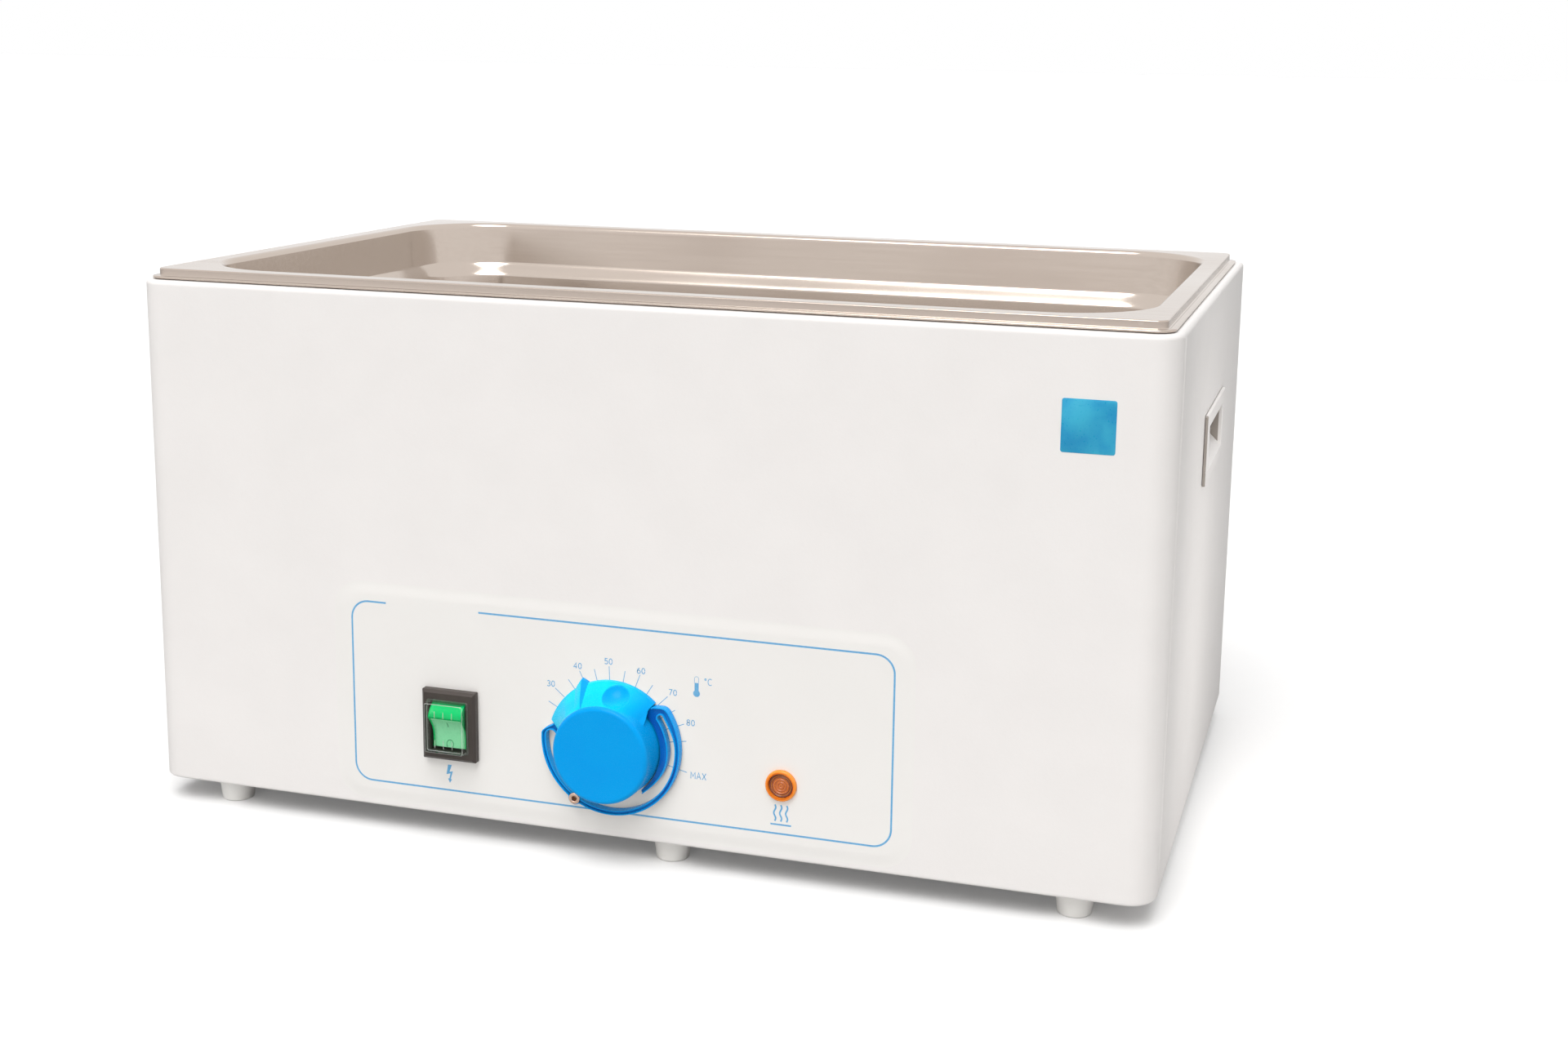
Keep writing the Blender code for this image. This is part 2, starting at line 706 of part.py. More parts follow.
def cut_front_holes(shell):
    """Holes for the switch, the thermostat's bushing and the lamp's neck."""
    size = (SWITCH_BODY_WIDTH + 2 * CLEARANCE, SWITCH_BODY_HEIGHT + 2 * CLEARANCE, 2 * OVERRUN)
    cutter = add_cutter("switch_hole", box_mesh("switch_hole", size))
    boolean(shell, put(cutter, front_place(SWITCH_X, SWITCH_HEIGHT), FACE_FRONT))
    rods = [
        (BUSHING_RADIUS + CLEARANCE, -OVERRUN, OVERRUN, (DIAL_X, DIAL_HEIGHT)),
        (LENS_NECK_RADIUS + CLEARANCE, -OVERRUN, OVERRUN, (LAMP_X, LAMP_HEIGHT)),
    ]
    cutter = add_cutter("front_round_holes", rods_mesh("front_round_holes", rods, FACETS))
    boolean(shell, put(cutter, front_place(0, 0), FACE_FRONT))


def cut_handle_holes(shell):
    """The openings in both sides that the grips sit in."""
    low = GRIP_BOTTOM - HANDLE_WALL - CLEARANCE
    high = GRIP_ROOF + HANDLE_WALL + CLEARANCE
    size = (2 * OVERRUN, GRIP_LENGTH + 2 * (HANDLE_WALL + CLEARANCE), high - low)
    middle = (low + high) / 2
    holes = [(size, (side * CASE_WIDTH / 2, HANDLE_CENTRE_Y, middle)) for side in (-1, 1)]
    cutter = add_cutter("handle_holes", boxes_mesh("handle_holes", holes))
    boolean(shell, put(cutter, inside_place(0, 0, 0)))


def build_rear_panel(group):
    """The rear panel with its cooling slots, inlet hole and screw holes."""
    half_x = CASE_WIDTH / 2 - REAR_MARGIN
    half_z = CASE_HEIGHT / 2 - REAR_MARGIN
    outlines = [rounded_rectangle(half_x, half_z, REAR_MARGIN / 2, segments=2)]
    inlet_half_x = INLET_BODY_WIDTH / 2 + CLEARANCE
    inlet_half_z = INLET_BODY_HEIGHT / 2 + CLEARANCE
    shift_z = INLET_HEIGHT - CASE_HEIGHT / 2
    hole = rounded_rectangle(inlet_half_x, inlet_half_z, CLEARANCE, segments=1)
    outlines.append([(x - INLET_X, z + shift_z) for x, z in hole])
    hole_radius = SCREW_RADIUS + CLEARANCE
    for offset in (-1, 1):
        x = offset * INLET_SCREW_SPACING / 2 - INLET_X
        outlines.append(circle_outline(x, shift_z, hole_radius, SMALL_FACETS))
    for _, x, z in rear_screw_places():
        outlines.append(circle_outline(-x, z - CASE_HEIGHT / 2, hole_radius, SMALL_FACETS))
    for step in range(SLOT_COUNT):
        x = SLOT_PITCH * (step - (SLOT_COUNT - 1) / 2)
        outlines.append(slot_outline(x, SLOT_HEIGHT - CASE_HEIGHT / 2, SLOT_LENGTH, SLOT_WIDTH))
    panel = add_object("rear_panel", plate_mesh("rear_panel", outlines, SHEET), group, "case")
    put(panel, rear_place(0, CASE_HEIGHT / 2, CLEARANCE + SHEET / 2), FACE_REAR)


def build_base_plate(group):
    """The base plate on the case's lower flange, with vents and foot screw holes."""
    half_x = CASE_WIDTH / 2 - SHEET - CLEARANCE
    half_y = CASE_DEPTH / 2 - SHEET - CLEARANCE
    outlines = [rounded_rectangle(half_x, half_y, FRONT_BEND, segments=3)]
    for _, x, y in foot_places():
        outlines.append(circle_outline(x, y, FOOT_SCREW_RADIUS + CLEARANCE, SMALL_FACETS))
    for step in range(VENT_COUNT):
        x = VENT_PITCH * (step - (VENT_COUNT - 1) / 2)
        for side in (-1, 1):
            outlines.append(slot_outline(x, side * VENT_PLACE_Y, VENT_LENGTH, VENT_WIDTH))
    plate = add_object("base_plate", plate_mesh("base_plate", outlines, SHEET), group, "case")
    put(plate, inside_place(0, 0, BASE_TOP - SHEET / 2))


def screw_mesh(name, radius, head_radius, head_height, length):
    """A round-headed screw; its head's underside is at zero, its shank runs down."""
    crown = head_height / 3
    profile = (
        (0, head_height),
        (head_radius - crown, head_height),
        (head_radius, head_height - crown),
        (head_radius, 0),
        (radius, 0),
        (radius, -length),
        (0, -length),
    )
    return turned_mesh(name, profile, SMALL_FACETS)


def build_feet(group):
    """Six tapered feet, each with its own screw from below."""
    profile = (
        (FOOT_TOP_RADIUS, FOOT_HEIGHT - CLEARANCE),
        (FOOT_BOTTOM_RADIUS, FOOT_EDGE_ROUNDING),
        (FOOT_BOTTOM_RADIUS - FOOT_EDGE_ROUNDING, 0),
        (FOOT_RECESS_RADIUS, 0),
        (FOOT_RECESS_RADIUS, FOOT_RECESS_DEPTH),
        (FOOT_SCREW_RADIUS + CLEARANCE, FOOT_RECESS_DEPTH),
        (FOOT_SCREW_RADIUS + CLEARANCE, FOOT_HEIGHT - CLEARANCE),
    )
    foot_mesh = turned_mesh("foot", profile, 18)
    length = FOOT_HEIGHT - FOOT_RECESS_DEPTH + BASE_TOP + FOOT_SCREW_TAIL
    head = (FOOT_SCREW_HEAD_RADIUS, FOOT_SCREW_HEAD_HEIGHT)
    screw = screw_mesh("foot_screw", FOOT_SCREW_RADIUS, *head, length)
    for name, x, y in foot_places():
        foot = add_object("foot_" + name, foot_mesh, group, "foot")
        put(foot, inside_place(x, y, -FOOT_HEIGHT))
        holder = add_object("foot_screw_" + name, screw, group, "zinc")
        put(holder, inside_place(x, y, FOOT_RECESS_DEPTH - FOOT_HEIGHT - CLEARANCE), FACE_DOWN)


def tank_rings():
    """Rings of the tank's upper and wet faces: half sizes, corner radius and height, from lip to floor."""
    half_x, half_y = RIM_WIDTH / 2, RIM_DEPTH / 2
    lip_height = CASE_HEIGHT + 2 * CLEARANCE + GASKET_THICKNESS + TANK_SHEET
    rows = [
        (half_x + LIP_REACH, half_y + LIP_REACH, RIM_CORNER + LIP_REACH, lip_height),
        (half_x, half_y, RIM_CORNER, lip_height),
    ]
    for rise, inset in rounding_steps(RIM_EDGE_ROUNDING, 2):
        height = RIM_HEIGHT - RIM_EDGE_ROUNDING + rise
        rows.append((half_x - inset, half_y - inset, RIM_CORNER - inset, height))
    for rise, inset in rounding_steps(MOUTH_ROUNDING, 3)[::-1]:
        height = RIM_HEIGHT - MOUTH_ROUNDING + rise
        rows.append((MOUTH_HALF_X + inset, MOUTH_HALF_Y + inset, MOUTH_CORNER + inset, height))
    shoulder_top = RIM_HEIGHT - SHOULDER_TOP_DROP
    shoulder_low = shoulder_top - SHOULDER_HEIGHT
    upper_x, upper_y = MOUTH_HALF_X - WALL_DRAFT, MOUTH_HALF_Y - WALL_DRAFT
    for inset_share, drop_share in SHOULDER_CURVE_SHARES:
        inset = SHOULDER_INSET * inset_share
        drop = SHOULDER_HEIGHT * drop_share
        rows.append((upper_x - inset, upper_y - inset, MOUTH_CORNER - inset, shoulder_top - drop))
    floor_x, floor_y = LOWER_HALF_X - LOWER_DRAFT, LOWER_HALF_Y - LOWER_DRAFT
    for rise, inset in rounding_steps(FLOOR_ROUNDING, 4):
        height = FLOOR_HEIGHT + FLOOR_ROUNDING - rise
        rows.append((floor_x - inset, floor_y - inset, LOWER_CORNER - inset, height))
    return rows


def build_tank(group):
    """The tank, as one drawn sheet from its lip to its floor."""
    rings = [
        [(x, y, height) for x, y in rounded_rectangle(half_x, half_y, corner)]
        for half_x, half_y, corner, height in tank_rings()
    ]
    tank = add_object("tank", loft_mesh("tank", rings, capped=False), group, "stainless")
    solidify(tank, TANK_SHEET, -1)
    put(tank, inside_place(0, 0, 0))


def build_gasket(group):
    """The thin seal between the tank's lip and the case."""
    outer_x = RIM_WIDTH / 2 + LIP_REACH - GASKET_INSET
    outer_y = RIM_DEPTH / 2 + LIP_REACH - GASKET_INSET
    corner = RIM_CORNER + LIP_REACH
    outer = rounded_rectangle(outer_x, outer_y, corner)
    inner = rounded_rectangle(outer_x - GASKET_WIDTH, outer_y - GASKET_WIDTH, corner - GASKET_WIDTH)
    mesh = plate_mesh("rim_gasket", [outer, inner], GASKET_THICKNESS)
    gasket = add_object("rim_gasket", mesh, group, "rubber")
    put(gasket, inside_place(0, 0, CASE_HEIGHT + CLEARANCE + GASKET_THICKNESS / 2))


def build_heating(group):
    """Jacket, heater mat, spreader plate and base pad, from the tank outwards."""
    inner_x = LOWER_HALF_X + TANK_SHEET + CLEARANCE
    inner_y = LOWER_HALF_Y + TANK_SHEET + CLEARANCE
    corner = LOWER_CORNER + TANK_SHEET
    inner = rounded_rectangle(inner_x, inner_y, corner)
    grown = JACKET_THICKNESS
    outer = rounded_rectangle(inner_x + grown, inner_y + grown, corner + grown)
    mesh = plate_mesh("insulation_jacket", [outer, inner], JACKET_HEIGHT)
    jacket = add_object("insulation_jacket", mesh, group, "wool")
    put(jacket, inside_place(0, 0, RIM_HEIGHT - JACKET_DROP - JACKET_HEIGHT / 2))
    top = TANK_UNDERSIDE
    outline = rounded_rectangle(PAD_WIDTH / 2, PAD_DEPTH / 2, PAD_CORNER, segments=2)
    layers = (
        ("heater_mat", HEATER_THICKNESS, "heater"),
        ("heat_spreader", SPREADER_THICKNESS, "aluminium"),
        ("insulation_base", PAD_THICKNESS, "wool"),
    )
    for name, thickness, finish in layers:
        top -= CLEARANCE
        layer = add_object(name, plate_mesh(name, [outline], thickness), group, finish)
        put(layer, inside_place(0, 0, top - thickness / 2))
        top -= thickness
    return top


def build_straps(group, pad_bottom):
    """Two straps that hang from the case's top and carry the heating layers against the tank."""
    half = STRAP_THICKNESS / 2
    leg_y = LOWER_HALF_Y + TANK_SHEET + JACKET_THICKNESS + 2 * CLEARANCE + half
    low = pad_bottom - CLEARANCE - half
    high = CASE_HEIGHT - SHEET - CLEARANCE - half
    bend = STRAP_BEND
    side = (
        (leg_y + STRAP_FOOT, high),
        (leg_y + bend, high),
        (leg_y, high - bend),
        (leg_y, low + bend),
        (leg_y - bend, low),
    )
    path = [(0, y, height) for y, height in side] + [(0, -y, height) for y, height in side[::-1]]
    mesh = strip_mesh("cradle_strap", path, (STRAP_WIDTH, 0, 0))
    offset = PAD_WIDTH * STRAP_PLACE_SHARE
    for name, x in (("left", -offset), ("right", offset)):
        strap = add_object("cradle_strap_" + name, mesh, group, "zinc")
        solidify(strap, STRAP_THICKNESS, 0)
        put(strap, inside_place(x - STRAP_WIDTH / 2, 0, 0))


def build_overlay(group):
    """The printed control panel, a thin sheet on the case's front."""
    half_x = (OVERLAY_RIGHT - OVERLAY_LEFT) / 2
    half_z = (OVERLAY_TOP - OVERLAY_BOTTOM) / 2
    middle_x = (OVERLAY_RIGHT + OVERLAY_LEFT) / 2
    middle_z = (OVERLAY_TOP + OVERLAY_BOTTOM) / 2
    outlines = [rounded_rectangle(half_x, half_z, OVERLAY_CORNER)]
    body_x = SWITCH_BODY_WIDTH / 2 + CLEARANCE
    body_z = SWITCH_BODY_HEIGHT / 2 + CLEARANCE
    shift_x, shift_z = SWITCH_X - middle_x, SWITCH_HEIGHT - middle_z
    hole = rounded_rectangle(body_x, body_z, CLEARANCE, segments=1)
    outlines.append([(x + shift_x, z + shift_z) for x, z in hole])
    rounds = ((DIAL_X, DIAL_HEIGHT, BUSHING_RADIUS), (LAMP_X, LAMP_HEIGHT, LENS_NECK_RADIUS))
    for x, z, radius in rounds:
        outlines.append(circle_outline(x - middle_x, z - middle_z, radius + CLEARANCE, FACETS))
    mesh = plate_mesh("control_overlay", outlines, OVERLAY_THICKNESS)
    overlay = add_object("control_overlay", mesh, group, "overlay")
    put(overlay, front_place(middle_x, middle_z, OVERLAY_GAP + OVERLAY_THICKNESS / 2), FACE_FRONT)


def lobe_weight(angle):
    """One inside the knob's flared lobe, zero outside, with short steep ends."""
    into = min(angle - LOBE_START_ANGLE, LOBE_END_ANGLE - angle)
    return min(max(into / LOBE_EDGE_ANGLE, 0), 1)


def knob_radius(angle, height):
    """The knob's outer radius at an angle in degrees and a height over its base."""
    straight = KNOB_HEIGHT - KNOB_EDGE_ROUNDING
    share = min(height / straight, 1)
    core = KNOB_BASE_RADIUS + (KNOB_FACE_RADIUS - KNOB_BASE_RADIUS) * share
    over = max(height - straight, 0) / KNOB_EDGE_ROUNDING
    core -= KNOB_EDGE_ROUNDING * (1 - math.sqrt(max(1 - over * over, 0)))
    flare = 1 - max(height - KNOB_LOBE_FOOT, 0) / (straight - KNOB_LOBE_FOOT)
    flare = max(flare, 0)
    off = abs(angle - POINTER_ANGLE)
    half = POINTER_HALF_ANGLE * (POINTER_TOP_SHARE + (1 - POINTER_TOP_SHARE) * flare)
    ridge = max(1 - off / half, 0) * POINTER_REACH * flare
    return core + lobe_weight(angle) * (KNOB_LOBE_REACH * flare + ridge)


def build_knob(group):
    """The knob: round face, flared lobe with pointer and finger dimple, hollow underside with its hub."""
    places = {KNOB_STEP_ANGLE * step for step in range(int(360 / KNOB_STEP_ANGLE))}
    wanted = [LOBE_START_ANGLE, LOBE_START_ANGLE + LOBE_EDGE_ANGLE]
    wanted += [LOBE_END_ANGLE - LOBE_EDGE_ANGLE, LOBE_END_ANGLE]
    wanted += [POINTER_ANGLE + step * POINTER_HALF_ANGLE for step in POINTER_CURVE_SHARES]
    places = {place for place in places if min(abs(place - angle) for angle in wanted) > LOBE_EDGE_ANGLE}
    angles = sorted(places | set(wanted))
    straight = KNOB_HEIGHT - KNOB_EDGE_ROUNDING
    heights = [0, KNOB_LOBE_FOOT, *[straight * share for share in KNOB_LEVEL_SHARES]]
    heights += [straight + rise for rise, _ in rounding_steps(KNOB_EDGE_ROUNDING, 3)[1:]]
    rings = []
    for height in heights:
        ring = []
        for angle in angles:
            radius = knob_radius(angle, height)
            turn = math.radians(angle)
            ring.append((radius * math.cos(turn), radius * math.sin(turn), height))
        rings.append(ring)
    knob = add_object("knob", loft_mesh("knob", rings), group, "knob")
    place = front_place(DIAL_X, DIAL_HEIGHT, KNOB_GAP)
    put(knob, place, FACE_FRONT)
    hollow = (
        (0, HUB_BORE_END),
        (SPINDLE_RADIUS + SPINDLE_CLEARANCE, HUB_BORE_END),
        (SPINDLE_RADIUS + SPINDLE_CLEARANCE, HUB_START),
        (HUB_RADIUS, HUB_START),
        (HUB_RADIUS, KNOB_CAVITY_DEPTH),
        (KNOB_CAVITY_RADIUS, KNOB_CAVITY_DEPTH),
        (KNOB_CAVITY_RADIUS, -OVERRUN),
        (0, -OVERRUN),
    )
    boolean(knob, put(add_cutter("knob_hollow", turned_mesh("knob_hollow", hollow)), place, FACE_FRONT))
    bm = bmesh.new()
    turn = math.radians(DIMPLE_ANGLE)
    out = knob_radius(DIMPLE_ANGLE, DIMPLE_HEIGHT) + DIMPLE_RADIUS - DIMPLE_DEPTH
    lift = DIMPLE_HEIGHT + DIMPLE_RADIUS / 2
    centre = Vector((out * math.cos(turn), out * math.sin(turn), lift))
    bmesh.ops.create_uvsphere(bm, u_segments=16, v_segments=10, radius=DIMPLE_RADIUS)
    bmesh.ops.translate(bm, vec=centre, verts=bm.verts)
    boolean(knob, put(add_cutter("knob_dimple", mesh_of(bm, "knob_dimple")), place, FACE_FRONT))


def ring_path():
    """The clip ring's middle line: left leaf, left fold, the band below, right fold and right leaf."""
    leaf = KNOB_BASE_RADIUS + RING_LEAF_GAP + RING_THICKNESS / 2

    def band(angle):
        turn = math.radians(angle)
        return Vector((RING_RADIUS * math.cos(turn), RING_RADIUS * math.sin(turn) + RING_OFFSET, 0))

    def inner(angle):
        turn = math.radians(angle)
        return Vector((leaf * math.cos(turn), leaf * math.sin(turn), 0))

    def fold(outer_end, inner_end, way):
        middle = (outer_end + inner_end) / 2
        arm = (outer_end - inner_end) / 2
        turns = [math.pi * step / 6 for step in range(1, 6)]
        return [middle + arm * math.cos(turn) + way * arm.length * math.sin(turn) for turn in turns]

    def way_at(angle, sense):
        turn = math.radians(angle)
        return sense * Vector((-math.sin(turn), math.cos(turn), 0))

    left_end = RING_LEFT_ANGLE
    right_end = RING_RIGHT_ANGLE
    sweep = 360 - (left_end - right_end)
    band_points = [band(left_end + sweep * step / 34) for step in range(35)]
    left_leaf = [inner(left_end + LEFT_LEAF_ANGLE * (1 - step / 5)) for step in range(6)]
    right_leaf = [inner(right_end - RIGHT_LEAF_ANGLE * step / 12) for step in range(13)]
    left_fold = fold(band_points[0], left_leaf[-1], way_at(left_end, -1))[::-1]
    right_fold = fold(band_points[-1], right_leaf[0], way_at(right_end, 1))
    return left_leaf + left_fold + band_points + right_fold + right_leaf


def ring_end(start, sense):
    """A solid end that joins band and leaf: a sector from an angle, turning by the sense."""
    inner = KNOB_BASE_RADIUS + RING_LEAF_GAP
    outer = RING_RADIUS + RING_THICKNESS / 2
    turns = [math.radians(start + sense * RING_END_ANGLE * step / 3) for step in range(4)]
    leaf = [(inner * math.cos(turn), inner * math.sin(turn), RING_START) for turn in turns]
    band = [(outer * math.cos(turn), outer * math.sin(turn) + RING_OFFSET, RING_START) for turn in turns]
    return leaf + band[::-1]


def build_ring(group):
    """The blue ring clipped round the knob, and the eyelet in its boss."""
    path = [point + Vector((0, 0, RING_START)) for point in ring_path()]
    ring = add_object("clip_ring", strip_mesh("clip_ring", path, (0, 0, RING_DEPTH)), group, "ring")
    place = front_place(DIAL_X, DIAL_HEIGHT)
    put(ring, place, FACE_FRONT)
    solidify(ring, RING_THICKNESS, 0)
    for name, start, sense in (("right", RING_RIGHT_ANGLE, 1), ("left", RING_LEFT_ANGLE, -1)):
        mesh = prism_mesh("ring_end_" + name, ring_end(start, sense), (0, 0, RING_DEPTH))
        boolean(ring, put(add_cutter("ring_end_" + name, mesh), place, FACE_FRONT), "UNION")
    turn = math.radians(EYELET_ANGLE)
    spot = (RING_RADIUS * math.cos(turn), RING_RADIUS * math.sin(turn) + RING_OFFSET)
    top = RING_START + RING_DEPTH
    boss = rods_mesh("eyelet_boss", [(EYELET_BOSS_RADIUS, RING_START, top, spot)], 16)
    boolean(ring, put(add_cutter("eyelet_boss", boss), place, FACE_FRONT), "UNION")
    hole = rods_mesh("eyelet_hole", [(EYELET_HOLE_RADIUS, RING_START - OVERRUN, top + OVERRUN, spot)], 16)
    boolean(ring, put(add_cutter("eyelet_hole", hole), place, FACE_FRONT))
    shank = EYELET_HOLE_RADIUS - CLEARANCE
    under = top + CLEARANCE
    profile = (
        (EYELET_BORE, under + EYELET_HEAD),
        (EYELET_RADIUS - EYELET_HEAD / 2, under + EYELET_HEAD),
        (EYELET_RADIUS, under + EYELET_HEAD / 2),
        (EYELET_RADIUS, under),
        (shank, under),
        (shank, RING_START),
        (EYELET_BORE, RING_START),
    )
    eyelet = add_object("ring_eyelet", turned_mesh("ring_eyelet", profile, 16), group, "nickel")
    put(eyelet, place + Vector((spot[0], 0, spot[1])), FACE_FRONT)


def build_thermostat(group):
    """Thermostat body with its bushing, nut and spindle."""
    place = front_place(DIAL_X, DIAL_HEIGHT)
    back = -SHEET - CLEARANCE - THERMOSTAT_DEPTH
    size = (THERMOSTAT_WIDTH, THERMOSTAT_HEIGHT, THERMOSTAT_DEPTH)
    mesh = box_mesh("thermostat_body", size, (0, 0, back + THERMOSTAT_DEPTH / 2))
    body = add_object("thermostat_body", mesh, group, "ceramic")
    put(body, place, FACE_FRONT)
    rod = (BUSHING_RADIUS, back + OVERRUN, BUSHING_REACH, (0, 0))
    bushing = rods_mesh("thermostat_bushing", [rod], FACETS)
    boolean(body, put(add_cutter("thermostat_bushing", bushing), place, FACE_FRONT), "UNION")
    side = THERMOSTAT_WIDTH / 4
    blade = (BLADE_WIDTH, BLADE_THICKNESS, 2 * BLADE_LENGTH)
    blades = [(blade, (x, -THERMOSTAT_HEIGHT / 4, back)) for x in (-side, side)]
    cutter = add_cutter("thermostat_blades", boxes_mesh("thermostat_blades", blades))
    boolean(body, put(cutter, place, FACE_FRONT), "UNION")
    bore = SPINDLE_RADIUS + SPINDLE_CLEARANCE
    rod = (bore, -SPINDLE_DEPTH - CLEARANCE, BUSHING_REACH + OVERRUN, (0, 0))
    cutter = add_cutter("spindle_bore", rods_mesh("spindle_bore", [rod], FINE_FACETS))
    boolean(body, put(cutter, place, FACE_FRONT))
    start = OVERLAY_FACE + CLEARANCE
    nut_profile = (
        (BUSHING_RADIUS + CLEARANCE, start + NUT_THICKNESS),
        (NUT_RADIUS, start + NUT_THICKNESS),
        (NUT_RADIUS, start),
        (BUSHING_RADIUS + CLEARANCE, start),
    )
    nut = add_object("thermostat_nut", hex_nut_mesh("thermostat_nut", nut_profile), group, "zinc")
    put(nut, place, FACE_FRONT)
    rod = rods_mesh("knob_spindle", [(SPINDLE_RADIUS, -SPINDLE_DEPTH, SPINDLE_REACH, (0, 0))], 16)
    put(add_object("knob_spindle", rod, group, "zinc"), place, FACE_FRONT)


def hex_nut_mesh(name, profile):
    """A six-sided nut with a round bore; the profile gives bore, outer radius and both faces."""
    (bore, top), (radius, _), (_, low), _ = profile
    inner = circle_outline(0, 0, bore, 18)
    corners = circle_outline(0, 0, radius, 6)
    outer = []
    for step in range(18):
        side, part = divmod(step, 3)
        start, end = corners[side], corners[(side + 1) % 6]
        outer.append(tuple(a + (b - a) * part / 3 for a, b in zip(start, end)))
    bm = bmesh.new()
    loops = [[bm.verts.new((x, y, z)) for x, y in outline] for outline, z in
             ((inner, top), (outer, top), (outer, low), (inner, low))]
    for upper, lower in zip(loops, loops[1:] + loops[:1]):
        for step in range(18):
            after = (step + 1) % 18
            bm.faces.new((upper[step], upper[after], lower[after], lower[step]))
    return mesh_of(bm, name)


def build_sensing(group):
    """Bulb against the tank's floor, its clip, the capillary and the overheat cut-out."""
    axis = TANK_UNDERSIDE - CLEARANCE - BULB_RADIUS
    bulb_mesh = rods_mesh("thermostat_bulb", [(BULB_RADIUS, -BULB_LENGTH / 2, BULB_LENGTH / 2, (0, 0))], 12)
    bulb = add_object("thermostat_bulb", bulb_mesh, group, "copper")
    put(bulb, inside_place(0, BULB_PLACE_Y, axis), Euler((0, math.pi / 2, 0)))
    around = BULB_RADIUS + CLEARANCE + CLIP_THICKNESS / 2
    foot_height = TANK_UNDERSIDE - CLEARANCE - CLIP_THICKNESS / 2
    turns = [math.pi * step / 8 for step in range(9)]
    arc = [(-around * math.cos(turn), axis - around * math.sin(turn)) for turn in turns]
    path = [(-around - CLIP_FOOT, foot_height), (-around, foot_height), *arc]
    path += [(around, foot_height), (around + CLIP_FOOT, foot_height)]
    points = [(0, y, height) for y, height in path]
    clip = add_object("bulb_clip", strip_mesh("bulb_clip", points, (CLIP_WIDTH, 0, 0)), group, "zinc")
    solidify(clip, CLIP_THICKNESS, 0)
    put(clip, inside_place(-CLIP_WIDTH / 2, BULB_PLACE_Y, 0))
    start = front_place(DIAL_X - THERMOSTAT_WIDTH / 4, DIAL_HEIGHT + THERMOSTAT_HEIGHT / 4)
    start.y += SHEET + 2 * CLEARANCE + THERMOSTAT_DEPTH
    end = inside_place(-BULB_LENGTH / 2 - CLEARANCE, BULB_PLACE_Y, axis)
    route = eased_route(start, Vector((0, 1, 0)), end, Vector((-1, 0, 0)), THERMOSTAT_WIDTH, 14)
    tube("thermostat_capillary", route, CAPILLARY_RADIUS, group, "copper")
    profile = (
        (0, 0),
        (CUTOUT_RADIUS, 0),
        (CUTOUT_RADIUS, -CUTOUT_HEIGHT / 2),
        (CUTOUT_RADIUS * CUTOUT_END_SHARE, -CUTOUT_HEIGHT),
        (0, -CUTOUT_HEIGHT),
    )
    cutout = add_object("overheat_cutout", turned_mesh("overheat_cutout", profile, 16), group, "black")
    place = inside_place(CUTOUT_X, BULB_PLACE_Y, TANK_UNDERSIDE - CLEARANCE)
    put(cutout, place)
    offset = CUTOUT_RADIUS / 2
    size = (BLADE_THICKNESS, BLADE_WIDTH, BLADE_LENGTH)
    blades = [(size, (x, 0, -CUTOUT_HEIGHT - BLADE_LENGTH / 4)) for x in (-offset, offset)]
    cutter = add_cutter("cutout_blades", boxes_mesh("cutout_blades", blades))
    boolean(cutout, put(cutter, place), "UNION")


def build_switch(group):
    """Switch body with its bezel, the rocker at its off position, and the clear cover."""
    place = front_place(SWITCH_X, SWITCH_HEIGHT)
    base = OVERLAY_FACE + CLEARANCE
    bezel_size = (BEZEL_WIDTH, BEZEL_HEIGHT, BEZEL_RISE - base)
    bezel_mesh = box_mesh("switch_body", bezel_size, (0, 0, (BEZEL_RISE + base) / 2))
    body = add_object("switch_body", bezel_mesh, group, "black")
    put(body, place, FACE_FRONT)
    bevel(body, OVERLAY_GAP * 3)
    size = (SWITCH_BODY_WIDTH, SWITCH_BODY_HEIGHT, SWITCH_BODY_DEPTH + BEZEL_RISE - base)
    core = box_mesh("switch_core", size, (0, 0, (BEZEL_RISE - base - SWITCH_BODY_DEPTH) / 2))
    boolean(body, put(add_cutter("switch_core", core), place, FACE_FRONT), "UNION")
    blade = (BLADE_WIDTH, BLADE_THICKNESS, 2 * BLADE_LENGTH)
    spots = [(x, z) for x in (-BLADE_WIDTH, BLADE_WIDTH) for z in (-BLADE_WIDTH, BLADE_WIDTH)]
    blades = [(blade, (x, z, -SWITCH_BODY_DEPTH)) for x, z in spots]
    cutter = add_cutter("switch_blades", boxes_mesh("switch_blades", blades))
    boolean(body, put(cutter, place, FACE_FRONT), "UNION")
    deep = BEZEL_RISE + OVERRUN + SWITCH_WELL_DEPTH
    well = (SWITCH_WELL_WIDTH, SWITCH_WELL_HEIGHT, deep)
    mesh = box_mesh("switch_well", well, (0, 0, BEZEL_RISE + OVERRUN - deep / 2))
    boolean(body, put(add_cutter("switch_well", mesh), place, FACE_FRONT))
    pivot = place + Vector((0, ROCKER_PIVOT_DEPTH, 0))
    across = Euler((0, math.pi / 2, 0))
    reach = ROCKER_WIDTH / 2 + ROCKER_PIN_REACH
    bore = ROCKER_PIN_RADIUS + SPINDLE_CLEARANCE
    rod = rods_mesh("pin_bearing", [(bore, -reach - CLEARANCE, reach + CLEARANCE, (0, 0))], FACETS)
    boolean(body, put(add_cutter("pin_bearing", rod), pivot, across))
    build_rocker(group, pivot, reach, across)
    build_cover(group, place)


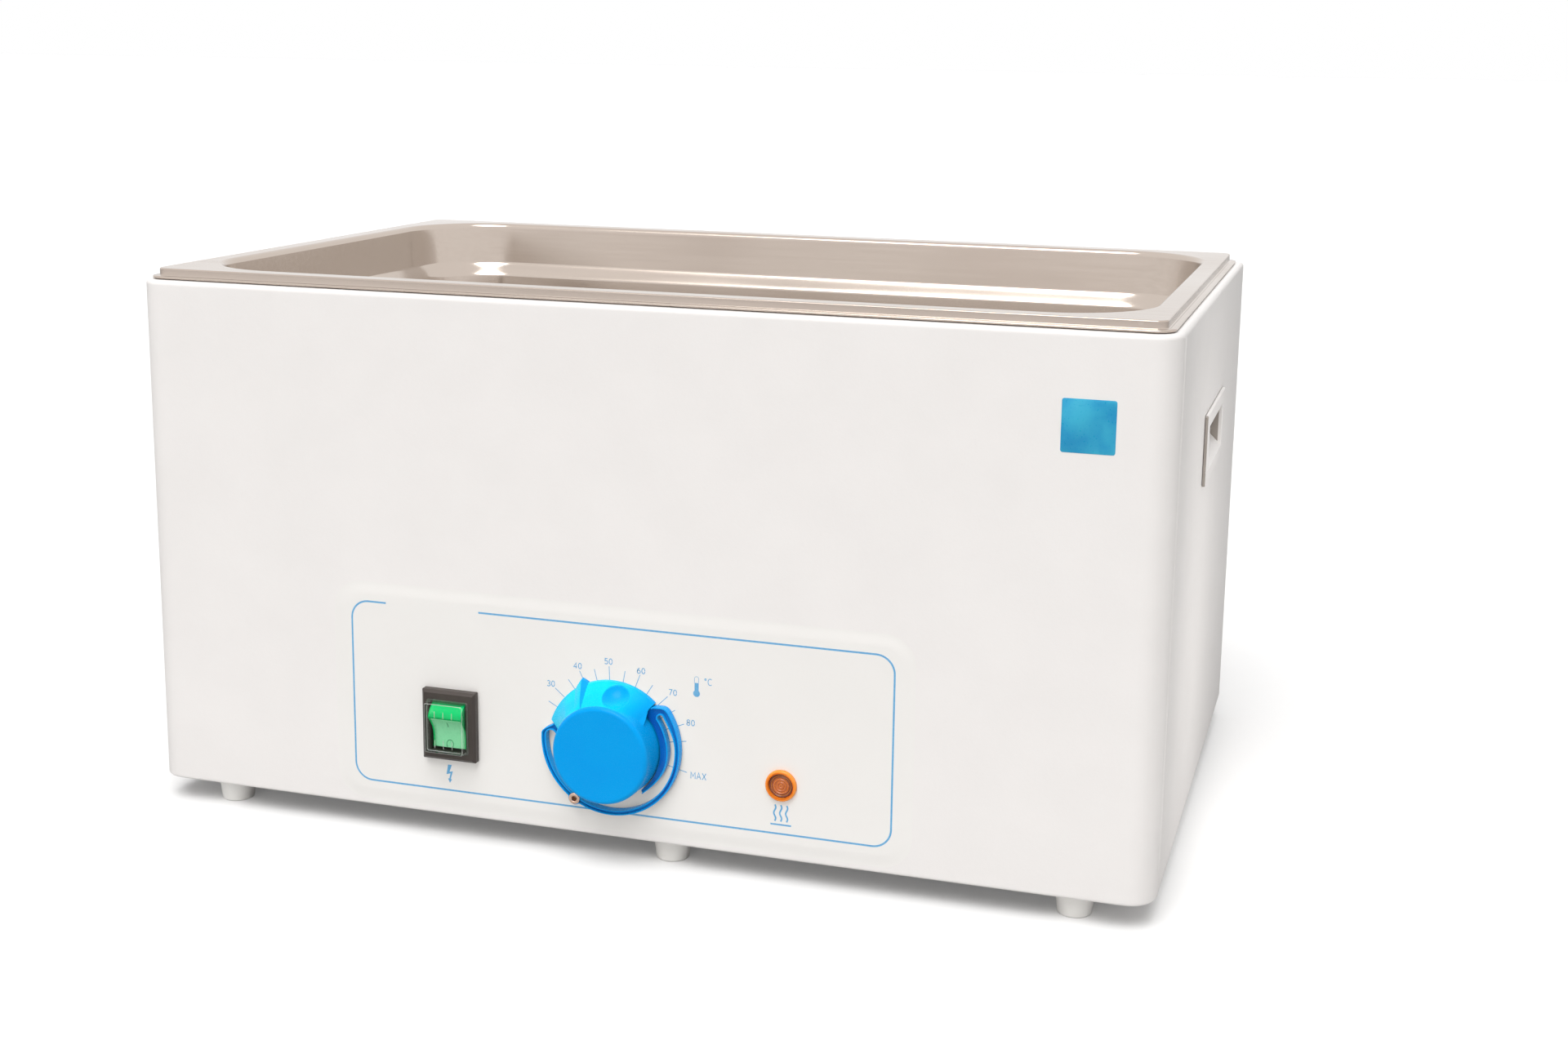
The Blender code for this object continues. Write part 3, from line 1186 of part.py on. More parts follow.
def rocker_section():
    """The rocker's section: two arcs about its pivot and a dished front between their edges."""
    sweep = ROCKER_BACK_ANGLE - ROCKER_EDGE_ANGLE
    shares = [step / ROCKER_ARC_STEPS for step in range(ROCKER_ARC_STEPS + 1)]
    turns = [math.radians(ROCKER_EDGE_ANGLE + sweep * share) for share in shares]
    arc = [(ROCKER_RADIUS * math.cos(turn), ROCKER_RADIUS * math.sin(turn)) for turn in turns]
    edge_out, edge_height = arc[0]
    dish_out = ROCKER_MIDDLE_REACH + (edge_out - ROCKER_MIDDLE_REACH) * ROCKER_DISH_SHARE
    dish_height = edge_height / 2
    upper = [*arc[::-1], (dish_out, dish_height)]
    lower = [(out, -height) for out, height in upper[::-1]]
    return [*upper, (ROCKER_MIDDLE_REACH, 0), *lower]


def build_rocker(group, pivot, reach, across):
    """The rocker, tipped about its pivot with its top out."""
    outline = [(-ROCKER_WIDTH / 2, -out, height) for out, height in rocker_section()]
    mesh = prism_mesh("switch_rocker", outline, (ROCKER_WIDTH, 0, 0))
    rocker = add_object("switch_rocker", mesh, group, "green")
    tip = Euler((math.radians(ROCKER_TIP_ANGLE), 0, 0))
    put(rocker, pivot, tip)
    pin = rods_mesh("rocker_pin", [(ROCKER_PIN_RADIUS, -reach, reach, (0, 0))], 12)
    boolean(rocker, put(add_cutter("rocker_pin", pin), pivot, across), "UNION")


def build_cover(group, place):
    """The clear splash cover: a thin tapered box, open at the back."""
    base = BEZEL_RISE + CLEARANCE
    top = base + COVER_RISE

    def ring(inset, height):
        half_x = COVER_WIDTH / 2 - inset
        half_z = COVER_HEIGHT / 2 - inset
        return [(x, z, height) for x, z in rounded_rectangle(half_x, half_z, COVER_TAPER, segments=2)]

    mesh = loft_mesh("switch_cover", [ring(0, base), ring(COVER_TAPER, top)])
    cover = add_object("switch_cover", mesh, group, "clear")
    put(cover, place, FACE_FRONT)
    inner = [ring(COVER_WALL, base - COVER_WALL), ring(COVER_WALL + COVER_TAPER, top - COVER_WALL)]
    hollow = loft_mesh("cover_hollow", inner)
    boolean(cover, put(add_cutter("cover_hollow", hollow), place, FACE_FRONT))


def build_lamp(group):
    """Orange lens with its neck, nut behind the panel, and the lamp's body."""
    place = front_place(LAMP_X, LAMP_HEIGHT)
    base = OVERLAY_FACE + CLEARANCE
    recess = LENS_RISE - LENS_RECESS_DEPTH
    ridge = LENS_RECESS_RADIUS / 2
    profile = (
        (0, recess),
        (ridge, recess),
        (ridge + LENS_RECESS_DEPTH / 2, recess + LENS_RECESS_DEPTH / 3),
        (ridge + LENS_RECESS_DEPTH, recess),
        (LENS_RECESS_RADIUS, recess),
        (LENS_RECESS_RADIUS + LENS_RECESS_DEPTH / 2, LENS_RISE),
        (LENS_RADIUS - LENS_RECESS_DEPTH / 2, LENS_RISE),
        (LENS_RADIUS, LENS_RISE - LENS_RECESS_DEPTH),
        (LENS_RADIUS, base),
        (LENS_NECK_RADIUS, base),
        (LENS_NECK_RADIUS, -LENS_NECK_DEPTH),
        (0, -LENS_NECK_DEPTH),
    )
    put(add_object("lamp_lens", turned_mesh("lamp_lens", profile, 20), group, "orange"), place, FACE_FRONT)
    start = -LENS_NECK_DEPTH - CLEARANCE
    end = start - LAMP_BODY_DEPTH
    body_mesh = rods_mesh("lamp_body", [(LAMP_BODY_RADIUS, end, start, (0, 0))], 16)
    body = add_object("lamp_body", body_mesh, group, "black")
    put(body, place, FACE_FRONT)
    offset = LAMP_BODY_RADIUS / 2
    size = (BLADE_THICKNESS, BLADE_WIDTH, BLADE_LENGTH)
    blades = [(size, (x, 0, end - BLADE_LENGTH / 4)) for x in (-offset, offset)]
    cutter = add_cutter("lamp_blades", boxes_mesh("lamp_blades", blades))
    boolean(body, put(cutter, place, FACE_FRONT), "UNION")
    top = -SHEET - CLEARANCE
    bore = LENS_NECK_RADIUS + CLEARANCE
    nut_profile = (
        (bore, top),
        (LAMP_NUT_RADIUS, top),
        (LAMP_NUT_RADIUS, top - LAMP_NUT_THICKNESS),
        (bore, top - LAMP_NUT_THICKNESS),
    )
    put(add_object("lamp_nut", hex_nut_mesh("lamp_nut", nut_profile), group, "black"), place, FACE_FRONT)


def build_handle(group, name, side):
    """A recessed handle: flange on the case's side and a grip whose floor slopes up inside."""
    thickness = HANDLE_PROUD - CLEARANCE
    place = Vector((0, CENTRE_Y, 0))
    flange = box_mesh(
        "handle_" + name,
        (thickness, HANDLE_LENGTH, HANDLE_HEIGHT),
        (side * (CASE_WIDTH / 2 + CLEARANCE + thickness / 2), HANDLE_CENTRE_Y, FOOT_HEIGHT + HANDLE_PLACE),
    )
    handle = add_object("handle_" + name, flange, group, "case")
    bevel(handle, CLEARANCE * 2)
    put(handle, place)
    start = HANDLE_CENTRE_Y - GRIP_LENGTH / 2
    outer = start - HANDLE_WALL
    pocket = [Vector(point) + Vector((0, outer, 0)) for point in side_outline(side, pocket_section())]
    mesh = prism_mesh("pocket_" + name, pocket, (0, GRIP_LENGTH + 2 * HANDLE_WALL, 0))
    boolean(handle, put(add_cutter("pocket_" + name, mesh), place), "UNION")
    hollow = [Vector(point) + Vector((0, start, 0)) for point in side_outline(side, grip_section())]
    mesh = prism_mesh("grip_" + name, hollow, (0, GRIP_LENGTH, 0))
    boolean(handle, put(add_cutter("grip_" + name, mesh), place))


def build_inlet(group):
    """Mains inlet: flanged body with a well, three pins, two screws."""
    face = REAR_PANEL_FACE + CLEARANCE
    place = rear_place(INLET_X, INLET_HEIGHT, face)
    size = (INLET_FLANGE_WIDTH, INLET_FLANGE_HEIGHT, INLET_FLANGE)
    body = add_object("inlet_body", box_mesh("inlet_body", size, (0, 0, INLET_FLANGE / 2)), group, "black")
    put(body, place, FACE_REAR)
    bevel(body, CLEARANCE * 2)
    depth = INLET_BODY_DEPTH + INLET_FLANGE / 2
    size = (INLET_BODY_WIDTH, INLET_BODY_HEIGHT, depth)
    core = box_mesh("inlet_core", size, (0, 0, INLET_FLANGE / 2 - depth / 2))
    boolean(body, put(add_cutter("inlet_core", core), place, FACE_REAR), "UNION")
    deep = INLET_WELL_DEPTH + OVERRUN
    size = (INLET_WELL_WIDTH, INLET_WELL_HEIGHT, deep)
    well = box_mesh("inlet_well", size, (0, 0, INLET_FLANGE + OVERRUN - deep / 2))
    boolean(body, put(add_cutter("inlet_well", well), place, FACE_REAR))
    spots = (("live", PIN_SPACING, PIN_DROP), ("neutral", -PIN_SPACING, PIN_DROP), ("earth", 0, -PIN_DROP))
    hole = (PIN_THICKNESS + 2 * CLEARANCE, PIN_WIDTH + 2 * CLEARANCE, 2 * INLET_BODY_DEPTH)
    holes = [(hole, (x, z, -INLET_BODY_DEPTH)) for _, x, z in spots]
    boolean(body, put(add_cutter("pin_holes", boxes_mesh("pin_holes", holes)), place, FACE_REAR))
    rods = [
        (SCREW_RADIUS + CLEARANCE, -OVERRUN, INLET_FLANGE + OVERRUN, (side * INLET_SCREW_SPACING / 2, 0))
        for side in (-1, 1)
    ]
    cutter = add_cutter("inlet_screw_holes", rods_mesh("inlet_screw_holes", rods))
    boolean(body, put(cutter, place, FACE_REAR))
    for name, x, z in spots:
        size = (PIN_THICKNESS, PIN_WIDTH, PIN_LENGTH)
        mesh = box_mesh("inlet_pin_" + name, size, (x, z, -PIN_RECESS - PIN_LENGTH / 2))
        put(add_object("inlet_pin_" + name, mesh, group, "brass"), place, FACE_REAR)
    screw = screw_mesh("inlet_screw", SCREW_RADIUS, SCREW_HEAD_RADIUS, SCREW_HEAD_HEIGHT, SCREW_LENGTH)
    for name, side in (("left", -1), ("right", 1)):
        holder = add_object("inlet_screw_" + name, screw, group, "zinc")
        x = INLET_X + side * INLET_SCREW_SPACING / 2
        spot = rear_place(x, INLET_HEIGHT, face + INLET_FLANGE + CLEARANCE / 2)
        put(holder, spot, FACE_REAR)


def build_rear_screws(group):
    """The rear panel's screws, through the panel into the case's flange."""
    screw = screw_mesh("rear_screw", SCREW_RADIUS, SCREW_HEAD_RADIUS, SCREW_HEAD_HEIGHT, SCREW_LENGTH)
    for name, x, z in rear_screw_places():
        holder = add_object("rear_screw_" + name, screw, group, "zinc")
        put(holder, rear_place(x, z, REAR_PANEL_FACE + CLEARANCE), FACE_REAR)


def build_terminals(group):
    """Terminal block and earth stud on the base plate."""
    floor = BASE_TOP + CLEARANCE
    size = (TERMINAL_LENGTH, TERMINAL_DEPTH, TERMINAL_HEIGHT)
    mesh = box_mesh("terminal_block", size, (0, 0, TERMINAL_HEIGHT / 2))
    block = add_object("terminal_block", mesh, group, "ceramic")
    place = inside_place(TERMINAL_X, TERMINAL_Y, floor)
    put(block, place)
    pitch = TERMINAL_LENGTH / 4
    middle = TERMINAL_HEIGHT / 2
    rods = [
        (TERMINAL_HOLE_RADIUS, -TERMINAL_DEPTH, TERMINAL_DEPTH, (pitch * (step - 3 / 2), middle))
        for step in range(4)
    ]
    boolean(block, put(add_cutter("terminal_holes", rods_mesh("terminal_holes", rods)), place, FACE_FRONT))
    nut = EARTH_HEIGHT / 3
    profile = (
        (0, EARTH_HEIGHT),
        (EARTH_RADIUS, EARTH_HEIGHT),
        (EARTH_RADIUS, nut),
        (EARTH_NUT_RADIUS, nut),
        (EARTH_NUT_RADIUS, 0),
        (0, 0),
    )
    stud = add_object("earth_stud", turned_mesh("earth_stud", profile, 12), group, "brass")
    put(stud, inside_place(EARTH_X, EARTH_Y, floor))


def build_wires(group):
    """Inner wires, each from one terminal to another along one eased curve."""
    gap = CLEARANCE + WIRE_RADIUS
    tail = REAR_Y + REAR_PANEL_FACE + CLEARANCE - PIN_RECESS - PIN_LENGTH - CLEARANCE
    pins = {
        "live": Vector((INLET_X - PIN_SPACING, tail, FOOT_HEIGHT + INLET_HEIGHT + PIN_DROP)),
        "neutral": Vector((INLET_X + PIN_SPACING, tail, FOOT_HEIGHT + INLET_HEIGHT + PIN_DROP)),
        "earth": Vector((INLET_X, tail, FOOT_HEIGHT + INLET_HEIGHT - PIN_DROP)),
    }
    inward, to_back, up = Vector((0, -1, 0)), Vector((0, 1, 0)), Vector((0, 0, 1))
    blade_end = SWITCH_BODY_DEPTH + BLADE_LENGTH + CLEARANCE
    switch_low = front_place(SWITCH_X + BLADE_WIDTH, SWITCH_HEIGHT - BLADE_WIDTH, -blade_end)
    switch_high = front_place(SWITCH_X + BLADE_WIDTH, SWITCH_HEIGHT + BLADE_WIDTH, -blade_end)
    stat_end = SHEET + CLEARANCE + THERMOSTAT_DEPTH + BLADE_LENGTH + CLEARANCE
    stat = [
        front_place(DIAL_X + side * THERMOSTAT_WIDTH / 4, DIAL_HEIGHT - THERMOSTAT_HEIGHT / 4, -stat_end)
        for side in (-1, 1)
    ]
    blade_drop = CUTOUT_HEIGHT + BLADE_LENGTH * 3 / 4 + 2 * CLEARANCE
    cutout = inside_place(CUTOUT_X - CUTOUT_RADIUS / 2, BULB_PLACE_Y, TANK_UNDERSIDE - blade_drop)
    lamp_end = LENS_NECK_DEPTH + LAMP_BODY_DEPTH + BLADE_LENGTH * 3 / 4 + 2 * CLEARANCE
    lamp = front_place(LAMP_X + LAMP_BODY_RADIUS / 2, LAMP_HEIGHT, -lamp_end)
    block_y = TERMINAL_Y - TERMINAL_DEPTH / 2
    pitch = TERMINAL_LENGTH / 4
    block_height = BASE_TOP + CLEARANCE + TERMINAL_HEIGHT / 2
    columns = [TERMINAL_X + pitch * (step - 3 / 2) for step in range(4)]
    block = [inside_place(x, block_y - gap, block_height) for x in columns]
    earth = inside_place(EARTH_X, EARTH_Y, BASE_TOP + EARTH_HEIGHT + 2 * CLEARANCE)
    far, near = CASE_DEPTH / 3, CASE_DEPTH / 8
    down = -up
    routes = (
        ("wire_live", pins["live"], inward, switch_low, to_back, far, "brown_wire"),
        ("wire_neutral", pins["neutral"], inward, block[3], inward, near, "blue_wire"),
        ("wire_earth", pins["earth"], inward, earth, up, near, "earth_wire"),
        ("wire_switch_thermostat", switch_high, to_back, stat[0], to_back, near, "brown_wire"),
        ("wire_thermostat_cutout", stat[1], to_back, cutout, down, near, "brown_wire"),
        ("wire_lamp", lamp, to_back, block[1], inward, near, "blue_wire"),
    )
    for name, start, start_way, end, end_way, reach, finish in routes:
        tube(name, eased_route(start, start_way, end, end_way, reach), WIRE_RADIUS, group, finish)


def main():
    """Builds every piece."""
    clear_scene()
    group = new_collection("laboratory_water_bath")
    new_collection("cutters")
    build_case_shell(group)
    build_rear_panel(group)
    build_base_plate(group)
    build_feet(group)
    build_tank(group)
    build_gasket(group)
    build_straps(group, build_heating(group))
    build_overlay(group)
    build_knob(group)
    build_ring(group)
    build_thermostat(group)
    build_sensing(group)
    build_switch(group)
    build_lamp(group)
    build_handle(group, "left", -1)
    build_handle(group, "right", 1)
    build_inlet(group)
    build_rear_screws(group)
    build_terminals(group)
    build_wires(group)


main()
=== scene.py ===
"""A laboratory water bath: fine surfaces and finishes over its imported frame, seen as in its photograph.

Lengths are metres. Each piece is computed as a whole array of points, as rings of a loft, sweeps along a
line or turned profiles, and rides on the body of the frame that it belongs to.
"""

import logging
import math
from dataclasses import dataclass, field
from enum import Enum
from typing import Any, Iterable, Optional, Sequence

import bpy
import numpy as np
from mathutils import Matrix, Vector


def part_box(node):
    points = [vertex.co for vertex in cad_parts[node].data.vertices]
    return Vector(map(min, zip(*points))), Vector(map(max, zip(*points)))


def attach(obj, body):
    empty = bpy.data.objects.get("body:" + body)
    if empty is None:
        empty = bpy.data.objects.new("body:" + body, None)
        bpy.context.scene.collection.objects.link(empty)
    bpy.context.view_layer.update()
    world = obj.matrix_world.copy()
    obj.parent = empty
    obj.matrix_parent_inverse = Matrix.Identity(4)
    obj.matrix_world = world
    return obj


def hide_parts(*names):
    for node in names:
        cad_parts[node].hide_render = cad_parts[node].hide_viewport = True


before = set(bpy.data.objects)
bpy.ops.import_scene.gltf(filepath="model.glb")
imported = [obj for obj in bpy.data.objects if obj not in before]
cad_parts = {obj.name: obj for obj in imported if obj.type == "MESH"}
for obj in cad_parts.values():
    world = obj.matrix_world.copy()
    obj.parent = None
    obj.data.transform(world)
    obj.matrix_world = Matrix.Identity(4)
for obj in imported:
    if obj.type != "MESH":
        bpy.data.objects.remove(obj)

LOG = logging.getLogger("bath")
MM = 0.001
Array = np.ndarray
Colour = tuple[float, float, float]
Pair = tuple[float, float]


def screen(red: float, green: float, blue: float) -> Colour:
    """The linear colour of a screen colour given in 0 to 255."""
    shares = np.array([red, green, blue]) / 255.0
    low = shares / 12.92
    high = ((shares + 0.055) / 1.055) ** 2.4
    return tuple(float(value) for value in np.where(shares <= 0.04045, low, high))


# Finishes


class Recipe:
    """One material's nodes, with short ways to add what the finishes share."""

    def __init__(self, name: str, colour: Colour) -> None:
        """Make the material with its main shader.

        Args:
            name: the material's name.
            colour: the colour it has in a plain view.
        """
        self.material = bpy.data.materials.new(name)
        self.material.use_nodes = True
        self.material.diffuse_color = (*colour, 1.0)
        self.tree = self.material.node_tree
        self.tree.nodes.clear()
        self.output = self.add("ShaderNodeOutputMaterial")
        self.shader = self.add("ShaderNodeBsdfPrincipled")
        self.join(self.shader.outputs[0], self.output.inputs["Surface"])
        self.place = self.add("ShaderNodeTexCoord").outputs["Object"]

    def add(self, kind: str, **values: Any) -> bpy.types.Node:
        """A new node of a kind, with values for its own settings."""
        node = self.tree.nodes.new(kind)
        for key, value in values.items():
            setattr(node, key, value)
        return node

    def join(self, source: Any, target: Any) -> None:
        """Link one socket to another."""
        self.tree.links.new(source, target)

    def feed(self, socket: str, source: Any) -> None:
        """Link a source to a socket of the main shader."""
        self.join(source, self.shader.inputs[socket])

    def set(self, socket: str, value: Any) -> None:
        """Set a constant on a socket of the main shader."""
        self.shader.inputs[socket].default_value = value

    def stretched(self, stretch: Sequence[float]) -> Any:
        """Object coordinates, scaled by axis."""
        mapping = self.add("ShaderNodeMapping")
        mapping.inputs["Scale"].default_value = tuple(stretch)
        self.join(self.place, mapping.inputs["Vector"])
        return mapping.outputs[0]

    def noise(self, scale: float, stretch: Sequence[float] = (1, 1, 1), detail: float = 3.0) -> Any:
        """Soft noise in 0 to 1.

        Args:
            scale: noise cells in a metre.
            stretch: scale of each axis before the noise.
            detail: octaves.

        Returns:
            The socket with the noise.
        """
        node = self.add("ShaderNodeTexNoise")
        node.inputs["Scale"].default_value = scale
        node.inputs["Detail"].default_value = detail
        self.join(self.stretched(stretch), node.inputs["Vector"])
        return node.outputs["Fac"]

    def cells(self, scale: float) -> Any:
        """Distance to the nearest of random cell centres, with so many cells in a metre."""
        node = self.add("ShaderNodeTexVoronoi")
        node.inputs["Scale"].default_value = scale
        self.join(self.place, node.inputs["Vector"])
        return node.outputs["Distance"]

    def spread(self, source: Any, low: float, high: float, first: float, last: float) -> Any:
        """The source's stretch from low to high, carried over to first to last and clamped."""
        node = self.add("ShaderNodeMapRange")
        for index, value in enumerate((low, high, first, last), start=1):
            node.inputs[index].default_value = value
        self.join(source, node.inputs[0])
        return node.outputs[0]

    def blend(self, share: Any, first: Any, second: Any) -> Any:
        """A colour between two, each given as a colour or a socket."""
        node = self.add("ShaderNodeMix", data_type="RGBA")
        self.join(share, node.inputs["Factor"])
        for socket, value in ((node.inputs[6], first), (node.inputs[7], second)):
            if isinstance(value, tuple):
                socket.default_value = (*value, 1.0)
            else:
                self.join(value, socket)
        return node.outputs[2]

    def height(self) -> Any:
        """The height above the bench, in metres."""
        node = self.add("ShaderNodeSeparateXYZ")
        self.join(self.place, node.inputs[0])
        return node.outputs["Z"]

    def relief(self, height: Any, depth: float, after: Any = None) -> Any:
        """A bumped normal.

        Args:
            height: socket with the height in 0 to 1.
            depth: metres between height 0 and 1.
            after: an earlier normal to bump on top of.

        Returns:
            The socket with the normal.
        """
        node = self.add("ShaderNodeBump")
        node.inputs["Distance"].default_value = depth
        self.join(height, node.inputs["Height"])
        if after is not None:
            self.join(after, node.inputs["Normal"])
        return node.outputs[0]


@dataclass(frozen=True)
class Finish:
    """A solid finish: two near tones in soft patches, an uneven gloss and a fine grain.

    Attributes:
        slot: a material slot's name; not used.
        colour: main tone.
        second: the tone of the patches.
        roughness: middle roughness.
        metallic: share of metal.
        mottle: patches in a metre.
        grain: grains in a metre.
        grain_depth: depth of the grain in metres.
        stretch: scale of each axis for the grain.
        uneven: spread of the roughness.
        marked: the tone where the piece's mark is 1.
    """

    slot: str
    colour: Colour
    second: Colour
    roughness: float = 0.4
    metallic: float = 0.0
    mottle: float = 25.0
    grain: float = 900.0
    grain_depth: float = 0.00003
    stretch: tuple[float, float, float] = (1.0, 1.0, 1.0)
    uneven: float = 0.10
    marked: Optional[Colour] = None

    def build(self, name: str) -> bpy.types.Material:
        """The material of this finish.

        Args:
            name: the material's name.

        Returns:
            The new material.
        """
        recipe = Recipe(name, self.colour)
        recipe.set("Metallic", self.metallic)
        patches = recipe.noise(self.mottle)
        share = recipe.spread(patches, 0.35, 0.65, 0.0, 1.0)
        tone = recipe.blend(share, self.colour, self.second)
        if self.marked is not None:
            mark = recipe.add("ShaderNodeAttribute", attribute_name="mark").outputs["Fac"]
            tone = recipe.blend(mark, tone, self.marked)
        grain = recipe.noise(self.grain, self.stretch, 4.0)
        gloss = recipe.spread(grain, 0.3, 0.7, self.roughness - self.uneven, self.roughness + self.uneven)
        normal = recipe.relief(grain, self.grain_depth)
        self.detail(recipe, tone, gloss, normal)
        return recipe.material

    def detail(self, recipe: Recipe, tone: Any, gloss: Any, normal: Any) -> None:
        """Feed the shader; a finish of its own kind adds its marks here.

        Args:
            recipe: the material's nodes.
            tone: socket with the colour.
            gloss: socket with the roughness.
            normal: socket with the normal.
        """
        recipe.feed("Base Color", tone)
        recipe.feed("Roughness", gloss)
        recipe.feed("Normal", normal)


@dataclass(frozen=True)
class Paint(Finish):
    """Powder coat: a soft orange peel, small craters and a tone a little darker near the bench."""

    peel: float = 260.0
    peel_depth: float = 0.00006

    def detail(self, recipe: Recipe, tone: Any, gloss: Any, normal: Any) -> None:
        """Add peel, craters and the darker tone near the bench."""
        # a tone a little darker towards the bottom, within 5 cm of the bench
        low = recipe.spread(recipe.height(), 0.012, 0.05, 1.0, 0.0)
        tone = recipe.blend(low, tone, tuple(value * 0.99 for value in self.second))
        craters = recipe.spread(recipe.cells(420.0), 0.0, 0.12, 0.0, 1.0)
        tone = recipe.blend(craters, tuple(value * 0.96 for value in self.second), tone)
        peel = recipe.noise(self.peel, detail=2.0)
        normal = recipe.relief(peel, self.peel_depth, normal)
        super().detail(recipe, tone, gloss, normal)


@dataclass(frozen=True)
class Steel(Finish):
    """Drawn or rolled metal: long fine lines, cloudy polish and faint dried drops."""

    drops: float = 60.0
    cloud: float = 7.0
    inner: Optional[Colour] = None

    def detail(self, recipe: Recipe, tone: Any, gloss: Any, normal: Any) -> None:
        """Add clouds and dried drops to the lines, and the plainer tone of its second reflections."""
        clouds = recipe.noise(self.cloud, detail=2.0)
        cloudy = recipe.add("ShaderNodeMath", operation="ADD")
        recipe.join(gloss, cloudy.inputs[0])
        recipe.join(recipe.spread(clouds, 0.3, 0.7, -0.05, 0.05), cloudy.inputs[1])
        rings = recipe.spread(recipe.cells(self.drops), 0.06, 0.10, 0.0, 1.0)
        tone = recipe.blend(rings, tuple(value * 0.975 for value in self.colour), tone)
        if self.inner is not None:
            seen = recipe.add("ShaderNodeLightPath").outputs["Is Camera Ray"]
            tone = recipe.blend(seen, self.inner, tone)
        super().detail(recipe, tone, cloudy.outputs[0], normal)


@dataclass(frozen=True)
class Plastic(Finish):
    """Moulded plastic: fine spark texture, a soft glow under the skin and faint flow marks."""

    glow: float = 0.0
    gloss_coat: float = 0.0
    shine: float = 0.35
    # cast: the pale tone bounce rays see in place of the colour, so nearby faces get painted pale bounce light
    cast: Optional[Colour] = None

    def detail(self, recipe: Recipe, tone: Any, gloss: Any, normal: Any) -> None:
        """Add flow marks, glow and coat, and a pale tone for bounce rays in place of the colour: painted bounce light.
        """
        recipe.set("Subsurface Weight", self.glow)
        recipe.set("Subsurface Radius", (0.004, 0.004, 0.004))
        recipe.set("Subsurface Scale", 1.0)
        recipe.set("Coat Weight", self.gloss_coat)
        recipe.set("Coat Roughness", 0.08)
        recipe.set("Specular IOR Level", self.shine)
        flow = recipe.noise(90.0, (1.0, 1.0, 0.2), 2.0)
        share = recipe.spread(flow, 0.45, 0.6, 0.0, 0.25)
        tone = recipe.blend(share, tone, self.second)
        # painted bounce light: bounce rays see the pale tone instead of the colour
        if self.cast is not None:
            bounced = recipe.add("ShaderNodeLightPath").outputs["Is Diffuse Ray"]
            tone = recipe.blend(bounced, tone, self.cast)
        super().detail(recipe, tone, gloss, normal)


@dataclass(frozen=True)
class Fibre(Finish):
    """Felted fibre: crossed threads, lumps and dark pores."""

    def detail(self, recipe: Recipe, tone: Any, gloss: Any, normal: Any) -> None:
        """Add threads and pores."""
        threads = recipe.noise(700.0, (1.0, 0.15, 0.6), 5.0)
        pores = recipe.spread(recipe.cells(300.0), 0.0, 0.35, 0.0, 1.0)
        tone = recipe.blend(pores, tuple(value * 0.6 for value in self.colour), tone)
        normal = recipe.relief(threads, 0.0006, normal)
        super().detail(recipe, tone, gloss, normal)


@dataclass(frozen=True)
class Clear(Finish):
    """Clear moulded plastic: sight goes straight through, with a thin gloss and pale opaque edges as painted
    highlights.
    """

    def detail(self, recipe: Recipe, tone: Any, gloss: Any, normal: Any) -> None:
        """Mix a tinted see-through shader with gloss by the viewing angle, and the pale shader by the edge mark as
        painted edge highlights.
        """
        recipe.set("Roughness", 0.12)
        recipe.feed("Base Color", tone)
        recipe.feed("Normal", normal)
        through = recipe.add("ShaderNodeBsdfTransparent")
        through.inputs["Color"].default_value = (0.93, 0.95, 0.93, 1.0)
        shine = recipe.add("ShaderNodeBsdfGlossy")
        shine.inputs["Roughness"].default_value = 0.06
        recipe.join(normal, shine.inputs["Normal"])
        angle = recipe.add("ShaderNodeFresnel")
        angle.inputs["IOR"].default_value = 1.14
        body = recipe.add("ShaderNodeMixShader")
        recipe.join(angle.outputs[0], body.inputs[0])
        recipe.join(through.outputs[0], body.inputs[1])
        recipe.join(shine.outputs[0], body.inputs[2])
        # the edge mark, broken by specks, blends in the pale shader: painted highlights on the edges
        mark = recipe.add("ShaderNodeAttribute", attribute_name="mark")
        specks = recipe.noise(600.0)
        soft = recipe.add("ShaderNodeMath", operation="MULTIPLY")
        recipe.join(mark.outputs["Fac"], soft.inputs[0])
        recipe.join(recipe.spread(specks, 0.2, 0.7, 0.7, 1.0), soft.inputs[1])
        whole = recipe.add("ShaderNodeMixShader")
        recipe.join(soft.outputs[0], whole.inputs[0])
        recipe.join(body.outputs[0], whole.inputs[1])
        recipe.join(recipe.shader.outputs[0], whole.inputs[2])
        recipe.join(whole.outputs[0], recipe.output.inputs["Surface"])


@dataclass(frozen=True)
class Striped(Finish):
    """Wire insulation in two colours that turn round it in a slow spiral."""

    stripe: Colour = (0.6, 0.5, 0.02)

    def detail(self, recipe: Recipe, tone: Any, gloss: Any, normal: Any) -> None:
        """Add the second colour as bands."""
        wave = recipe.add("ShaderNodeTexWave", bands_direction="DIAGONAL")
        wave.inputs["Scale"].default_value = 60.0
        recipe.join(recipe.place, wave.inputs["Vector"])
        share = recipe.spread(wave.outputs["Fac"], 0.45, 0.55, 0.0, 1.0)
        tone = recipe.blend(share, tone, self.stripe)
        super().detail(recipe, tone, gloss, normal)


